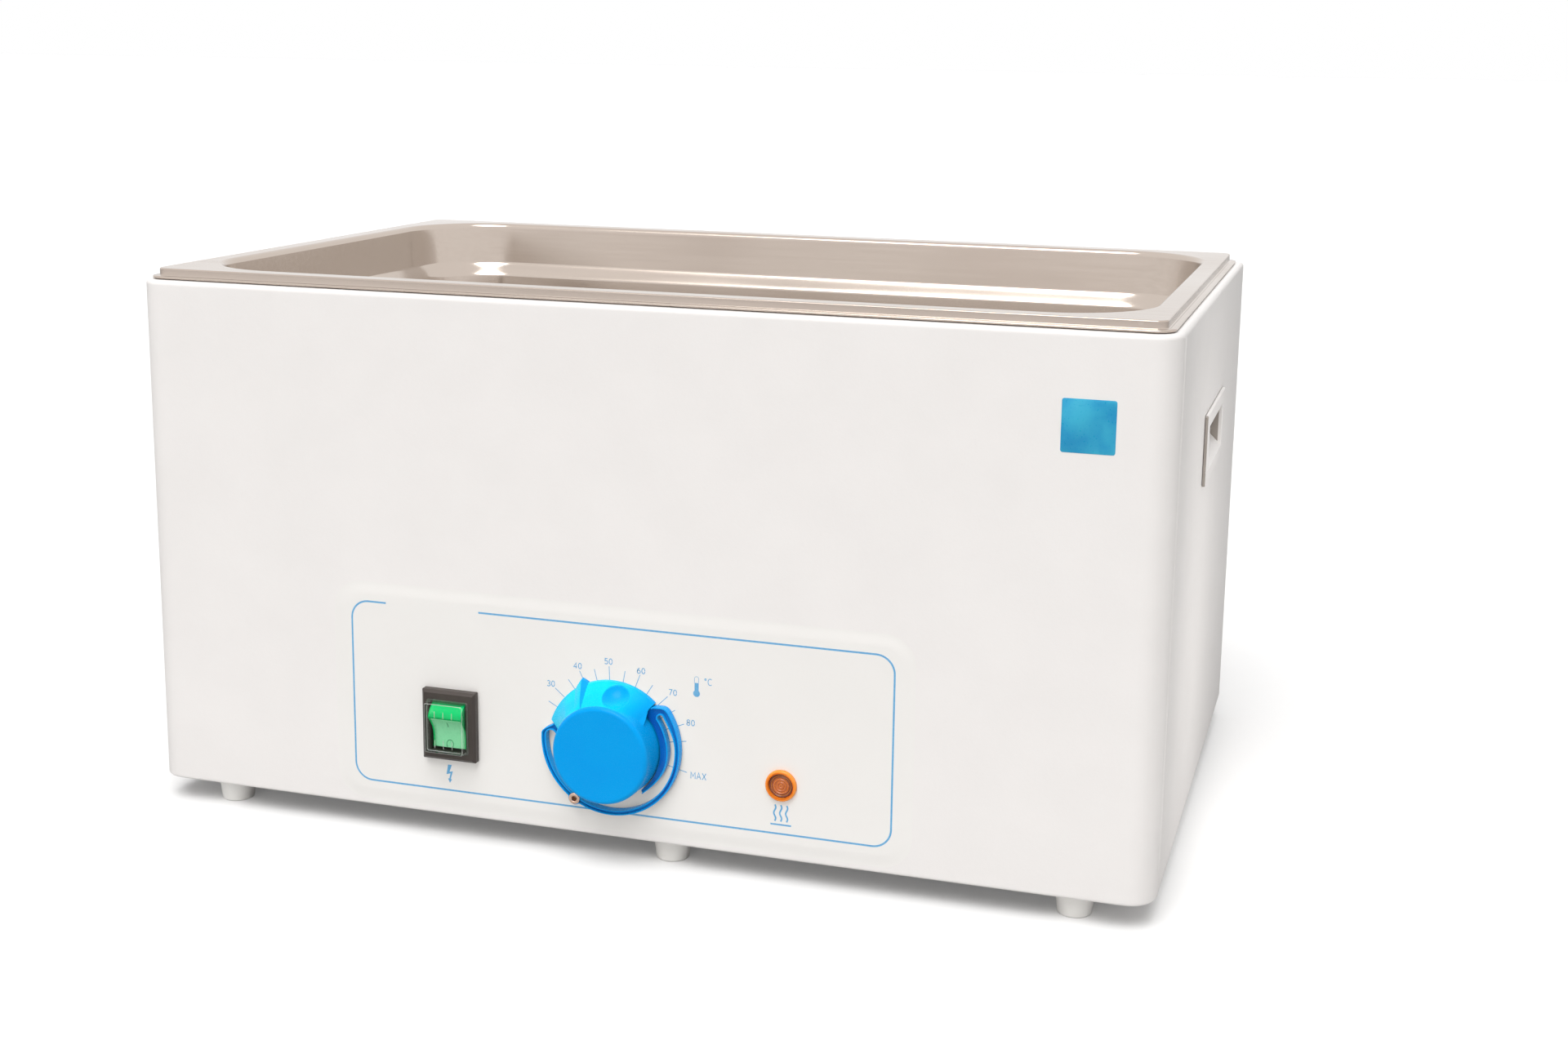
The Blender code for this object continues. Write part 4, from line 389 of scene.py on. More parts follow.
class Look(Enum):
    """The finishes of the bath, by what wears them."""

    WHITE = Paint("white_paint", screen(239, 236, 234), screen(237, 234, 232), 0.42, uneven=0.05)
    FOOT = Plastic("foot_plastic", screen(250, 249, 246), screen(245, 243, 239), 0.55, grain=1500.0)
    # its marked tone, a little darker, is a painted darker reflection on the rim's upright skirt
    STAINLESS = Steel(
        "stainless", screen(208, 195, 184), screen(203, 189, 178), 0.17, 1.0, 6.0, 420.0, 0.0000005,
        (0.04, 1.0, 1.0), 0.03, screen(202, 188, 177), inner=screen(206, 200, 194),
    )
    ZINC = Steel("zinc", screen(205, 206, 203), screen(190, 192, 186), 0.34, 1.0, 90.0, 700.0)
    RUBBER = Finish("gasket_rubber", screen(128, 116, 110), screen(116, 106, 100), 0.75, grain_depth=0.00008)
    WOOL = Fibre("wool", screen(196, 188, 160), screen(180, 168, 132), 0.95, mottle=60.0, grain_depth=0.0002)
    HEATER = Finish("heater_silicone", screen(178, 92, 50), screen(160, 76, 40), 0.7, grain_depth=0.00008)
    ALUMINIUM = Steel(
        "spreader_aluminium", screen(222, 222, 224), screen(208, 208, 211), 0.38, 1.0, stretch=(0.08, 1.0, 1.0)
    )
    FILM = Finish("overlay_film", screen(238, 236, 233), screen(237, 235, 232), 0.44, grain=2200.0, uneven=0.04)
    INK = Finish("overlay_film", screen(96, 166, 214), screen(112, 176, 218), 0.5, mottle=900.0)
    # marked: a grey-brown, painted shade on the handle's flange ends and inside its pocket
    GRIP = Paint("white_paint", screen(239, 236, 234), screen(237, 234, 232), 0.42, uneven=0.05, marked=screen(150, 141, 133))
    # marked: a lighter cyan, the lobe's painted lit tone
    KNOB = Plastic(
        "knob_blue", screen(0, 154, 233), screen(0, 160, 235), 0.24, grain=2500.0, grain_depth=0.000004,
        marked=screen(0, 214, 248), shine=0.12, cast=screen(206, 212, 216),
    )
    # marked: a dark blue, painted shade on the top face of the ring's plate between its ribs
    RING = Plastic(
        "ring_blue", screen(4, 156, 240), screen(0, 162, 242), 0.24, grain=2500.0, grain_depth=0.000006,
        marked=screen(0, 84, 180), shine=0.2, cast=screen(206, 212, 216),
    )
    NICKEL = Steel("eyelet_nickel", screen(236, 206, 186), screen(220, 186, 164), 0.20, 1.0, 200.0, 900.0)
    BLACK = Plastic("black_plastic", screen(62, 55, 52), screen(72, 65, 61), 0.42, grain=1800.0)
    GREEN = Plastic("rocker_green", screen(0, 212, 118), screen(12, 218, 128), 0.2, gloss_coat=0.3, shine=0.2)
    PALE_GREEN = Plastic("rocker_green", screen(162, 250, 198), screen(154, 244, 190), 0.3)
    DARK_GREEN = Plastic("rocker_green", screen(86, 176, 126), screen(76, 164, 114), 0.4)
    # the pale colour of the clear cover's painted edge highlights
    CLEAR = Clear("cover_clear", screen(238, 240, 236), screen(228, 232, 226), 0.3)
    ORANGE = Plastic("lens_orange", screen(250, 154, 52), screen(244, 142, 44), 0.2, gloss_coat=0.3, glow=0.1)
    AMBER = Plastic(
        "lens_orange", screen(196, 108, 58), screen(180, 94, 48), 0.25, gloss_coat=0.3, marked=screen(112, 62, 46)
    )
    BRASS = Steel("pin_brass", screen(226, 196, 128), screen(206, 172, 104), 0.28, 1.0, 120.0, 800.0)
    COPPER = Steel("copper", screen(222, 150, 112), screen(196, 122, 86), 0.3, 1.0, 60.0, 800.0)
    CERAMIC = Finish("ceramic", screen(236, 231, 219), screen(224, 217, 202), 0.6, mottle=200.0)
    BROWN = Plastic("brown_wire", screen(112, 66, 40), screen(98, 56, 34), 0.45, mottle=120.0)
    BLUE = Plastic("blue_wire", screen(40, 92, 178), screen(34, 80, 160), 0.45, mottle=120.0)
    EARTH = Striped("earth_wire", screen(90, 170, 60), screen(78, 156, 50), 0.45, stripe=screen(232, 208, 40))
    STICKER = Finish("overlay_film", screen(20, 146, 196), screen(52, 172, 206), 0.35, mottle=90.0)

    def material(self) -> bpy.types.Material:
        """The material of this look, made once."""
        name = "finish_" + self.name.lower()
        return bpy.data.materials.get(name) or self.value.build(name)


# Shapes


@dataclass(frozen=True)
class Facing:
    """Where a piece's own axes lie: an origin and the ways across, up and out."""

    origin: tuple[float, float, float]
    across: tuple[float, float, float]
    up: tuple[float, float, float]
    out: tuple[float, float, float]

    def place(self, points: Array) -> Array:
        """Points given across, up and out, in the frame's own axes."""
        axes = np.array([self.across, self.up, self.out])
        return np.array(self.origin) + points @ axes


@dataclass(frozen=True)
class Measures:
    """The case's faces, read from the frame, and the ways that pieces face on them."""

    half_x: float
    half_y: float
    centre_y: float
    base: float
    height: float

    @classmethod
    def read(cls) -> "Measures":
        """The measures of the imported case."""
        low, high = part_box("case_shell")
        return cls(
            (high.x - low.x) / 2, (high.y - low.y) / 2, (high.y + low.y) / 2, low.z, high.z - low.z
        )

    @property
    def front(self) -> float:
        """The front face's place along y."""
        return self.centre_y - self.half_y

    @property
    def rear(self) -> float:
        """The rear face's place along y."""
        return self.centre_y + self.half_y

    def on_front(self, x: float, height: float) -> Facing:
        """Facing forward at a place on the front face, the height measured from the case's bottom."""
        return Facing((x, self.front, self.base + height), (1, 0, 0), (0, 0, 1), (0, -1, 0))

    def on_rear(self, x: float, height: float) -> Facing:
        """Facing back at a place on the rear face."""
        return Facing((x, self.rear, self.base + height), (-1, 0, 0), (0, 0, 1), (0, 1, 0))

    def on_side(self, side: int, y: float, height: float) -> Facing:
        """Facing out at a place on the right (1) or left (-1) face."""
        place = (side * self.half_x, self.centre_y + y, self.base + height)
        return Facing(place, (0, side, 0), (0, 0, 1), (side, 0, 0))

    def upward(self, x: float = 0.0, y: float = 0.0, height: float = 0.0) -> Facing:
        """Facing up, over a place given from the case's middle and bottom."""
        return Facing((x, self.centre_y + y, self.base + height), (1, 0, 0), (0, 1, 0), (0, 0, 1))


def arc(centre: Pair, radii: Pair, start: float, end: float, steps: int) -> Array:
    """Points of an ellipse's arc: centre plus radii times the cosine and sine of even angles.

    Args:
        centre: its middle.
        radii: its two half axes.
        start: first angle in degrees.
        end: last angle in degrees.
        steps: parts of the arc.

    Returns:
        One row for each point.
    """
    turns = np.radians(np.linspace(start, end, steps + 1))
    return np.stack([centre[0] + radii[0] * np.cos(turns), centre[1] + radii[1] * np.sin(turns)], axis=1)


def bend(radius: float, steps: int) -> Array:
    """Inset and rise of a quarter round from upright to flat: radius times one less cosine, and sine."""
    turns = np.linspace(0, math.pi / 2, steps + 1)
    return np.stack([radius * (1 - np.cos(turns)), radius * np.sin(turns)], axis=1)


@dataclass(frozen=True)
class Stations:
    """Where a rounded rectangle's rings have their points.

    Attributes:
        sides: shares along the near, right, far and left side, each from 0 to 1.
        bend_steps: parts of each corner's quarter round.
    """

    sides: tuple[Array, Array, Array, Array]
    bend_steps: int = 10

    @classmethod
    def even(cls, parts: int = 2, bend_steps: int = 8, edge: float = 0.02) -> "Stations":
        """Even shares on all four sides, with one more share close to each end."""
        shares = np.unique(np.concatenate([np.linspace(0, 1, parts + 1), [edge, 1 - edge]]))
        return cls((shares, shares, shares, shares), bend_steps)


@dataclass(frozen=True)
class Outline:
    """A rounded rectangle at a distance out: half sizes, corner radius and its middle."""

    half_u: float
    half_v: float
    radius: float
    out: float = 0.0
    centre: Pair = (0.0, 0.0)
    far_radius: Optional[float] = None

    def ring(self, stations: Stations) -> Array:
        """Points round the outline, anticlockwise from the near left corner.

        A side's points lie at its shares of the straight part; a corner's points at even angles of a quarter
        circle.

        Args:
            stations: where the points are.

        Returns:
            One row of across, up and out for each point.
        """
        far = self.radius if self.far_radius is None else self.far_radius
        corners = (
            (self.half_u - self.radius, -self.half_v + self.radius, self.radius, -90),
            (self.half_u - far, self.half_v - far, far, 0),
            (-self.half_u + far, self.half_v - far, far, 90),
            (-self.half_u + self.radius, -self.half_v + self.radius, self.radius, 180),
        )
        arcs = [
            arc((u, v), (radius, radius), start, start + 90, stations.bend_steps)
            for u, v, radius, start in corners
        ]
        pieces = []
        for index, shares in enumerate(stations.sides):
            first, last = arcs[index - 1][-1], arcs[index][0]
            pieces.append(first + (last - first) * shares[:, None])
            pieces.append(arcs[index][1:-1])
        flat = np.concatenate(pieces) + np.array(self.centre)
        return np.column_stack([flat, np.full(len(flat), self.out)])


def normals(points: Array, closed: bool) -> Array:
    """The way to the left of a line at each of its points, mitred so that a stroke keeps its width.

    Args:
        points: the line's points in two dimensions.
        closed: whether the last point joins the first.

    Returns:
        One row for each point: the mean of both parts' left normals over their dot product's share.
    """
    ahead = np.roll(points, -1, axis=0) - points
    behind = points - np.roll(points, 1, axis=0)
    if not closed:
        ahead[-1], behind[0] = behind[-1], ahead[0]
    left = []
    for way in (ahead, behind):
        unit = way / np.linalg.norm(way, axis=1, keepdims=True)
        left.append(np.column_stack([-unit[:, 1], unit[:, 0]]))
    mean = left[0] + left[1]
    mean /= np.maximum(np.linalg.norm(mean, axis=1, keepdims=True), 1e-9)
    cosine = np.maximum(np.sum(mean * left[0], axis=1, keepdims=True), 0.5)
    return mean / cosine


@dataclass
class Surface:
    """Points and faces gathered from grids, which become one mesh."""

    points: list[Array] = field(default_factory=list)
    faces: list[tuple[int, ...]] = field(default_factory=list)
    marks: list[Array] = field(default_factory=list)
    count: int = 0

    def grid(
        self,
        rows: Array,
        facing: Facing,
        closed: bool = True,
        caps: tuple[bool, bool] = (True, True),
        keep: Optional[Array] = None,
        marks: Optional[Array] = None,
    ) -> None:
        """Add a grid of faces: each row's points joined along the row and to the next row.

        Args:
            rows: points as rows, columns and across-up-out.
            facing: where the points' axes lie.
            closed: whether each row's last point joins its first.
            caps: whether the first and the last row are filled.
            keep: for each face of the grid, whether it stays.
            marks: a value for each point.
        """
        count, width = rows.shape[:2]
        above = np.arange(count - 1)[:, None]
        along = np.arange(width if closed else width - 1)[None, :]
        after = (along + 1) % width
        quads = np.stack(
            [above * width + along, above * width + after, (above + 1) * width + after, (above + 1) * width + along],
            axis=-1,
        )
        quads = quads.reshape(-1, 4) if keep is None else quads[keep]
        self.faces.extend(map(tuple, (quads + self.count).tolist()))
        if caps[0]:
            self.faces.append(tuple(range(self.count + width - 1, self.count - 1, -1)))
        if caps[1]:
            last = self.count + (count - 1) * width
            self.faces.append(tuple(range(last, last + width)))
        self.points.append(facing.place(rows.reshape(-1, 3)))
        self.marks.append(np.zeros(count * width) if marks is None else marks.reshape(-1))
        self.count += count * width

    def loft(
        self,
        outlines: Iterable[Outline],
        facing: Facing,
        stations: Stations,
        caps: tuple[bool, bool] = (True, True),
    ) -> None:
        """Add the skin through several outlines, one row of points for each."""
        self.grid(np.stack([outline.ring(stations) for outline in outlines]), facing, caps=caps)

    def turned(self, profile: Sequence[Pair], facing: Facing, facets: int = 64, closed: bool = False) -> None:
        """Add a turned body: each profile point's radius times the cosine and sine of even angles.

        Args:
            profile: radius and distance out, from the low axis end to the high one.
            facing: where its axis lies.
            facets: points round the axis.
            closed: whether the profile's last point joins its first, as for a body with a bore.
        """
        lines = np.array([*profile, profile[0]] if closed else profile)
        turns = np.arange(facets) * (2 * math.pi / facets)
        rows = np.stack(
            [
                lines[:, 0, None] * np.cos(turns),
                lines[:, 0, None] * np.sin(turns),
                np.repeat(lines[:, 1, None], facets, axis=1),
            ],
            axis=-1,
        )
        self.grid(rows, facing, caps=(not closed, not closed))

    def sweep(self, line: Array, section: Array, facing: Facing, closed: bool = False) -> None:
        """Add a bar along a flat line: the line's point plus its left normal times the section's first value.

        Args:
            line: points across and up.
            section: points left of the line and out, anticlockwise.
            facing: where the line lies.
            closed: whether the line's end joins its start.
        """
        side = normals(line, closed)
        flat = line[:, None, :] + side[:, None, :] * section[None, :, :1]
        out = np.broadcast_to(section[None, :, 1:], (*flat.shape[:2], 1))
        rows = np.concatenate([flat, out], axis=-1)
        if closed:
            rows = np.concatenate([rows, rows[:1]])
        self.grid(rows, facing, caps=(not closed, not closed))

    def plate(self, outline: Array, levels: Sequence[Pair], facing: Facing) -> None:
        """Add a plate with any outline: the outline moved inward by each level's inset.

        Args:
            outline: points across and up, anticlockwise.
            levels: inset and distance out of each ring, from below to above.
            facing: where the plate lies.
        """
        side = normals(outline, True)
        rings = [
            np.column_stack([outline + side * inset, np.full(len(outline), out)]) for inset, out in levels
        ]
        self.grid(np.stack(rings), facing)

    def mesh(self, name: str, weld: bool) -> bpy.types.Mesh:
        """The gathered faces as a mesh.

        Args:
            name: the mesh's name.
            weld: whether points at one place become one point.

        Returns:
            The new mesh.
        """
        points = np.concatenate(self.points)
        marks = np.concatenate(self.marks)
        faces = self.faces
        used = np.unique(np.concatenate([np.array(face) for face in faces]))
        target = np.full(len(points), -1)
        if weld:
            _, first, same = np.unique(
                np.round(points[used], 7), axis=0, return_index=True, return_inverse=True
            )
            target[used] = same.reshape(-1)
            used = used[first]
        else:
            target[used] = np.arange(len(used))
        lists = target.tolist()
        merged = [tuple(dict.fromkeys(lists[index] for index in face)) for face in faces]
        mesh = bpy.data.meshes.new(name)
        mesh.from_pydata(points[used].tolist(), [], [face for face in merged if len(face) > 2])
        if marks.any():
            layer = mesh.attributes.new("mark", "FLOAT", "POINT")
            layer.data.foreach_set("value", marks[used].astype(np.float32))
        mesh.update()
        return mesh


@dataclass(frozen=True)
class Piece:
    """One finished piece: its name, its look, the body it rides and the frame's nodes it stands for."""

    name: str
    look: Look
    body: str = "case"
    nodes: tuple[str, ...] = ()
    sheet: float = 0.0
    rounding: float = 0.0
    sharp: float = 32.0
    weld: bool = True

    def make(self, surface: Surface) -> bpy.types.Object:
        """Turn a surface into this piece.

        Args:
            surface: the gathered faces.

        Returns:
            The object, which rides its body.
        """
        mesh = surface.mesh(self.name, self.weld)
        mesh.shade_smooth()
        mesh.set_sharp_from_angle(angle=math.radians(self.sharp))
        thing = bpy.data.objects.new(self.name, mesh)
        bpy.context.scene.collection.objects.link(thing)
        thing.data.materials.append(self.look.material())
        if self.sheet:
            solid = thing.modifiers.new("sheet", "SOLIDIFY")
            solid.thickness = self.sheet
            solid.offset = -1.0
            solid.use_even_offset = True
        if self.rounding:
            soft = thing.modifiers.new("rounding", "BEVEL")
            soft.width = self.rounding
            soft.segments = 3
            soft.limit_method = "ANGLE"
            soft.angle_limit = math.radians(35.0)
            soft.harden_normals = True
        if self.nodes:
            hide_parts(*self.nodes)
        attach(thing, self.body)
        LOG.info("%s: %d faces", self.name, len(mesh.polygons))
        return thing


# Sub-assemblies


@dataclass(frozen=True)
class Case:
    """The folded sheet case: walls with their holes, top ledge round the tank and bottom flange."""

    at: Measures
    sheet: float = 1.5 * MM
    front_bend: float = 14.5 * MM
    rear_bend: float = 2.0 * MM
    top_rounding: float = 2.5 * MM
    low_rounding: float = 1.4 * MM
    flange: float = 30 * MM
    hole_half: Pair = (0.2565, 0.1535)
    hole_radius: float = 51.5 * MM
    window: tuple[float, float, float] = (0.2571, 0.0155, 0.2596)
    switch_hole: tuple[float, float, float, float] = (-0.1058, -0.0796, 0.0344, 0.0672)
    dial_hole: tuple[float, float, float, float] = (-0.0080, 0.0030, 0.0447, 0.0557)
    lamp_hole: tuple[float, float, float, float] = (0.0814, 0.0936, 0.0336, 0.0458)
    grip_hole: tuple[float, float, float, float] = (-0.0257, 0.0517, 0.1828, 0.2132)
    ridge: float = 0.5 * MM
    ridge_half: float = 0.9 * MM

    def stations(self) -> Stations:
        """Shares of each side at the holes' edges and close to the bends."""
        near_half = self.at.half_x - self.front_bend
        far_half = self.at.half_x - self.rear_bend
        low = -self.at.half_y + self.front_bend
        high = self.at.half_y - self.rear_bend
        holes = (self.switch_hole, self.dial_hole, self.lamp_hole)
        near = [value for hole in holes for value in self.beside(hole[:2])]
        steps = np.array([0.0, 0.35, 0.9, 1.6]) * MM

        def shares(values: Sequence[float], start: float, end: float, parts: int) -> Array:
            length = end - start
            spots = (np.array(values) - start) / length
            even = np.linspace(0, 1, parts + 1)
            ends = steps / abs(length)
            return np.unique(np.round(np.concatenate([spots, even, ends, 1 - ends]), 7))

        right = shares(self.beside(self.grip_hole[:2]), low, high, 6)
        return Stations(
            (
                shares(near, -near_half, near_half, 10),
                right,
                shares(self.beside((-self.window[0], self.window[0])), far_half, -far_half, 8),
                1 - right[::-1],
            ),
            14,
        )

    @staticmethod
    def beside(edges: Sequence[float]) -> list[float]:
        """A hole's two edges, each with one more place just outside, so that the wall round it stays flat."""
        return [edges[0] - 0.4 * MM, edges[0], edges[1], edges[1] + 0.4 * MM]

    def rows(self) -> list[Outline]:
        """Rings from the bottom flange's inner edge over the wall to the tank's hole."""

        def ring(inset: float, height: float) -> Outline:
            return Outline(
                self.at.half_x - inset,
                self.at.half_y - inset,
                max(self.front_bend - inset, 0.5 * MM),
                height,
                far_radius=max(self.rear_bend - inset, 0.4 * MM),
            )

        rings = [ring(self.flange, 0.0), ring(self.low_rounding + 1.0 * MM, 0.0)]
        low = bend(self.low_rounding, 5)
        rings += [ring(self.low_rounding - rise, inset) for inset, rise in low]
        top = self.at.height - self.top_rounding
        levels = {self.low_rounding + 0.8 * MM, top - 0.8 * MM, *self.beside(self.window[1:])}
        for hole in (self.switch_hole, self.dial_hole, self.lamp_hole, self.grip_hole):
            levels.update(self.beside(hole[2:]))
        rings += [ring(0.0, level) for level in sorted(levels)]
        rings += [ring(inset, top + rise) for inset, rise in bend(self.top_rounding, 7)]
        rings.append(ring(self.top_rounding + 0.7 * MM, self.at.height))
        rings.append(Outline(*self.hole_half, self.hole_radius, self.at.height))
        return rings

    def kept(self, rows: Array) -> Array:
        """For each face, whether it stays: a face goes where its middle lies in a hole or window."""
        after = np.roll(rows, -1, axis=1)
        middle = (rows[:-1] + after[:-1] + rows[1:] + after[1:]) / 4
        x, y, z = middle[..., 0], middle[..., 1], middle[..., 2]
        keep = np.ones(x.shape, bool)
        front = y < -self.at.half_y + MM
        for left, right, low, high in (self.switch_hole, self.dial_hole, self.lamp_hole):
            keep &= ~(front & (x > left) & (x < right) & (z > low) & (z < high))
        start, end, low, high = self.grip_hole
        side = np.abs(x) > self.at.half_x - MM
        keep &= ~(side & (y > start) & (y < end) & (z > low) & (z < high))
        half, low, high = self.window
        rear = y > self.at.half_y - MM
        keep &= ~(rear & (np.abs(x) < half) & (z > low) & (z < high))
        return keep

    def build(self) -> None:
        """Make the shell, with a ridge behind each front bend: its height falls off evenly to both sides."""
        rows = np.stack([outline.ring(self.stations()) for outline in self.rows()])
        keep = self.kept(rows)
        start = -self.at.half_y + self.front_bend
        lift = self.ridge * np.clip(1 - np.abs(rows[..., 1] - start - self.ridge_half) / self.ridge_half, 0, 1)
        wall = (rows[..., 2] > 2.4 * MM) & (np.abs(rows[..., 0]) > self.at.half_x - 0.01 * MM)
        rows[..., 0] += np.sign(rows[..., 0]) * lift * wall
        surface = Surface()
        surface.grid(rows, self.at.upward(), caps=(False, False), keep=keep)
        Piece("case_skin", Look.WHITE, nodes=("case_shell",), sheet=self.sheet).make(surface)


@dataclass(frozen=True)
class Tank:
    """The drawn stainless tank: lip, rim, rolled mouth, sloped shoulder, walls and floor."""

    at: Measures
    sheet: float = 1.0 * MM
    rim: Pair = (0.2650, 0.1625)
    rim_radius: float = 6.0 * MM
    rim_top: float = 0.2808
    lip_top: float = 0.2767
    lip_reach: float = 3.6 * MM
    rim_rounding: float = 0.7 * MM
    mouth: Pair = (0.2530, 0.1500)
    mouth_radius: float = 48 * MM
    roll: float = 3.0 * MM
    shoulder_top: float = 0.2556
    shoulder_drop: float = 9.0 * MM
    shoulder_inset: float = 6.0 * MM
    draft: float = 1.0 * MM
    low_draft: float = 3.0 * MM
    floor: float = 0.1308
    floor_rounding: float = 20 * MM

    def rows(self) -> list[Outline]:
        """Rings of the wet side, from the lip's edge over the rim and down to the floor."""
        half_x, half_y = self.rim

        def rim(inset: float, height: float) -> Outline:
            return Outline(half_x - inset, half_y - inset, max(self.rim_radius - inset, MM), height)

        rings = [rim(-self.lip_reach, self.lip_top), rim(-0.5 * MM, self.lip_top)]
        rings += [rim(-0.5 * MM + inset, self.lip_top + rise) for rise, inset in bend(0.5 * MM, 4)]
        start = self.rim_top - self.rim_rounding
        rings += [rim(inset, start + rise) for inset, rise in bend(self.rim_rounding, 6)]
        rings.append(rim(self.rim_rounding + 0.6 * MM, self.rim_top))
        mouth_x, mouth_y = self.mouth
        wide = self.roll + 0.4 * MM
        outer = rings[-1]
        for share in (0.25, 0.5, 0.75, 1.0):
            rings.append(
                Outline(
                    outer.half_u + (mouth_x + wide - outer.half_u) * share,
                    outer.half_v + (mouth_y + wide - outer.half_v) * share,
                    outer.radius + (self.mouth_radius + wide - outer.radius) * share,
                    self.rim_top,
                )
            )
        for inset, rise in bend(self.roll, 7)[::-1]:
            height = self.rim_top - self.roll + rise
            rings.append(Outline(mouth_x + inset, mouth_y + inset, self.mouth_radius + inset, height))
        upper_x, upper_y = mouth_x - self.draft, mouth_y - self.draft
        turns = np.linspace(0, 1, 15)
        smooth = turns * turns * (3 - 2 * turns)
        for share, fall in zip(smooth, 0.35 * smooth + 0.65 * turns):
            inset = self.shoulder_inset * share
            height = self.shoulder_top - self.shoulder_drop * fall
            rings.append(Outline(upper_x - inset, upper_y - inset, self.mouth_radius - inset, height))
        low_x = upper_x - self.shoulder_inset - self.low_draft
        low_y = upper_y - self.shoulder_inset - self.low_draft
        radius = self.mouth_radius - self.shoulder_inset
        for inset, rise in bend(self.floor_rounding, 12):
            height = self.floor + self.floor_rounding - rise
            rings.append(Outline(low_x - inset, low_y - inset, radius - inset, height))
        for inset in (22 * MM, 40 * MM, 80 * MM):
            rings.append(Outline(low_x - inset, low_y - inset, max(radius - inset, 4 * MM), self.floor))
        return rings

    def build(self) -> None:
        """Make the tank as one sheet and the dark seal under its lip."""
        surface = Surface()
        rows = np.stack([outline.ring(Stations.even(12, 16, 0.004)) for outline in self.rows()])
        # the rim's upright skirt takes the darker marked tone: a painted darker reflection
        skirt = (rows[..., 2] > self.lip_top + 0.3 * MM) & (rows[..., 2] < self.rim_top - 0.2 * MM)
        skirt &= np.maximum(np.abs(rows[..., 0]) - self.rim[0], np.abs(rows[..., 1]) - self.rim[1]) > -3 * MM
        surface.grid(rows, self.at.upward(), caps=(False, True), marks=skirt.astype(float))
        Piece("tank_skin", Look.STAINLESS, nodes=("tank",), sheet=self.sheet).make(surface)
        seal = Surface()
        reach = self.lip_reach - 0.8 * MM
        outer = (self.rim[0] + reach, self.rim[1] + reach)
        low, high = self.at.height + 0.08 * MM, self.at.height + 0.52 * MM
        section = (
            (0.05 * MM, low), (0.0, low + 0.1 * MM), (0.0, high - 0.1 * MM), (0.05 * MM, high),
            (5.9 * MM, high), (6.0 * MM, low + 0.1 * MM), (5.9 * MM, low), (0.05 * MM, low),
        )
        rings = [Outline(outer[0] - inset, outer[1] - inset, max(8.8 * MM - inset, MM), out) for inset, out in section]
        seal.loft(rings, self.at.upward(), Stations.even(6, 10), (False, False))
        Piece("rim_seal", Look.RUBBER, nodes=("rim_gasket",)).make(seal)


class Sign:
    """Strokes of the printed letters and signs, in units of a letter's height."""

    def __init__(self, space: float = 0.26) -> None:
        """Prepare the letters as lists of open or closed strokes, and the space between letters."""
        self.space = space
        self.letters: dict[str, tuple[Array, ...]] = {
            "0": (arc((0.3, 0.5), (0.28, 0.5), 0, 352, 22),),
            "3": (
                np.concatenate([
                    arc((0.28, 0.75), (0.24, 0.25), 150, -80, 12),
                    arc((0.28, 0.26), (0.29, 0.26), 80, -150, 12),
                ]),
            ),
            "4": (np.array([(0.46, 0.0), (0.46, 1.0), (0.02, 0.28), (0.62, 0.28)]),),
            "5": (
                np.concatenate([
                    np.array([(0.52, 1.0), (0.1, 1.0), (0.07, 0.56)]),
                    arc((0.27, 0.31), (0.29, 0.31), 125, -145, 14),
                ]),
            ),
            "6": (
                np.concatenate([
                    arc((0.6, 0.32), (0.58, 0.68), 106, 180, 8),
                    arc((0.3, 0.3), (0.28, 0.3), 190, 530, 18),
                ]),
            ),
            "7": (np.array([(0.03, 1.0), (0.58, 1.0), (0.2, 0.0)]),),
            "8": (arc((0.3, 0.76), (0.24, 0.24), 0, 350, 16), arc((0.3, 0.26), (0.29, 0.26), 0, 350, 16)),
            "M": (np.array([(0.0, 0.0), (0.0, 1.0), (0.33, 0.35), (0.66, 1.0), (0.66, 0.0)]),),
            "A": (np.array([(0.0, 0.0), (0.3, 1.0), (0.6, 0.0)]), np.array([(0.1, 0.34), (0.5, 0.34)])),
            "X": (np.array([(0.0, 0.0), (0.56, 1.0)]), np.array([(0.0, 1.0), (0.56, 0.0)])),
            "C": (arc((0.36, 0.5), (0.34, 0.5), 48, 312, 18),),
            "o": (arc((0.12, 0.86), (0.12, 0.13), 0, 345, 12),),
        }

    def word(self, text: str, centre: Pair, height: float) -> list[Array]:
        """A word's strokes.

        Args:
            text: its letters.
            centre: its middle.
            height: the letters' height.

        Returns:
            Lines of points across and up.
        """
        pen, lines = 0.0, []
        for letter in text:
            strokes = self.letters[letter]
            lines += [stroke + np.array([pen, 0.0]) for stroke in strokes]
            pen += max(float(stroke[:, 0].max()) for stroke in strokes) + self.space
        middle = np.array([(pen - self.space) / 2, 0.5])
        return [(line - middle) * height + np.array(centre) for line in lines]


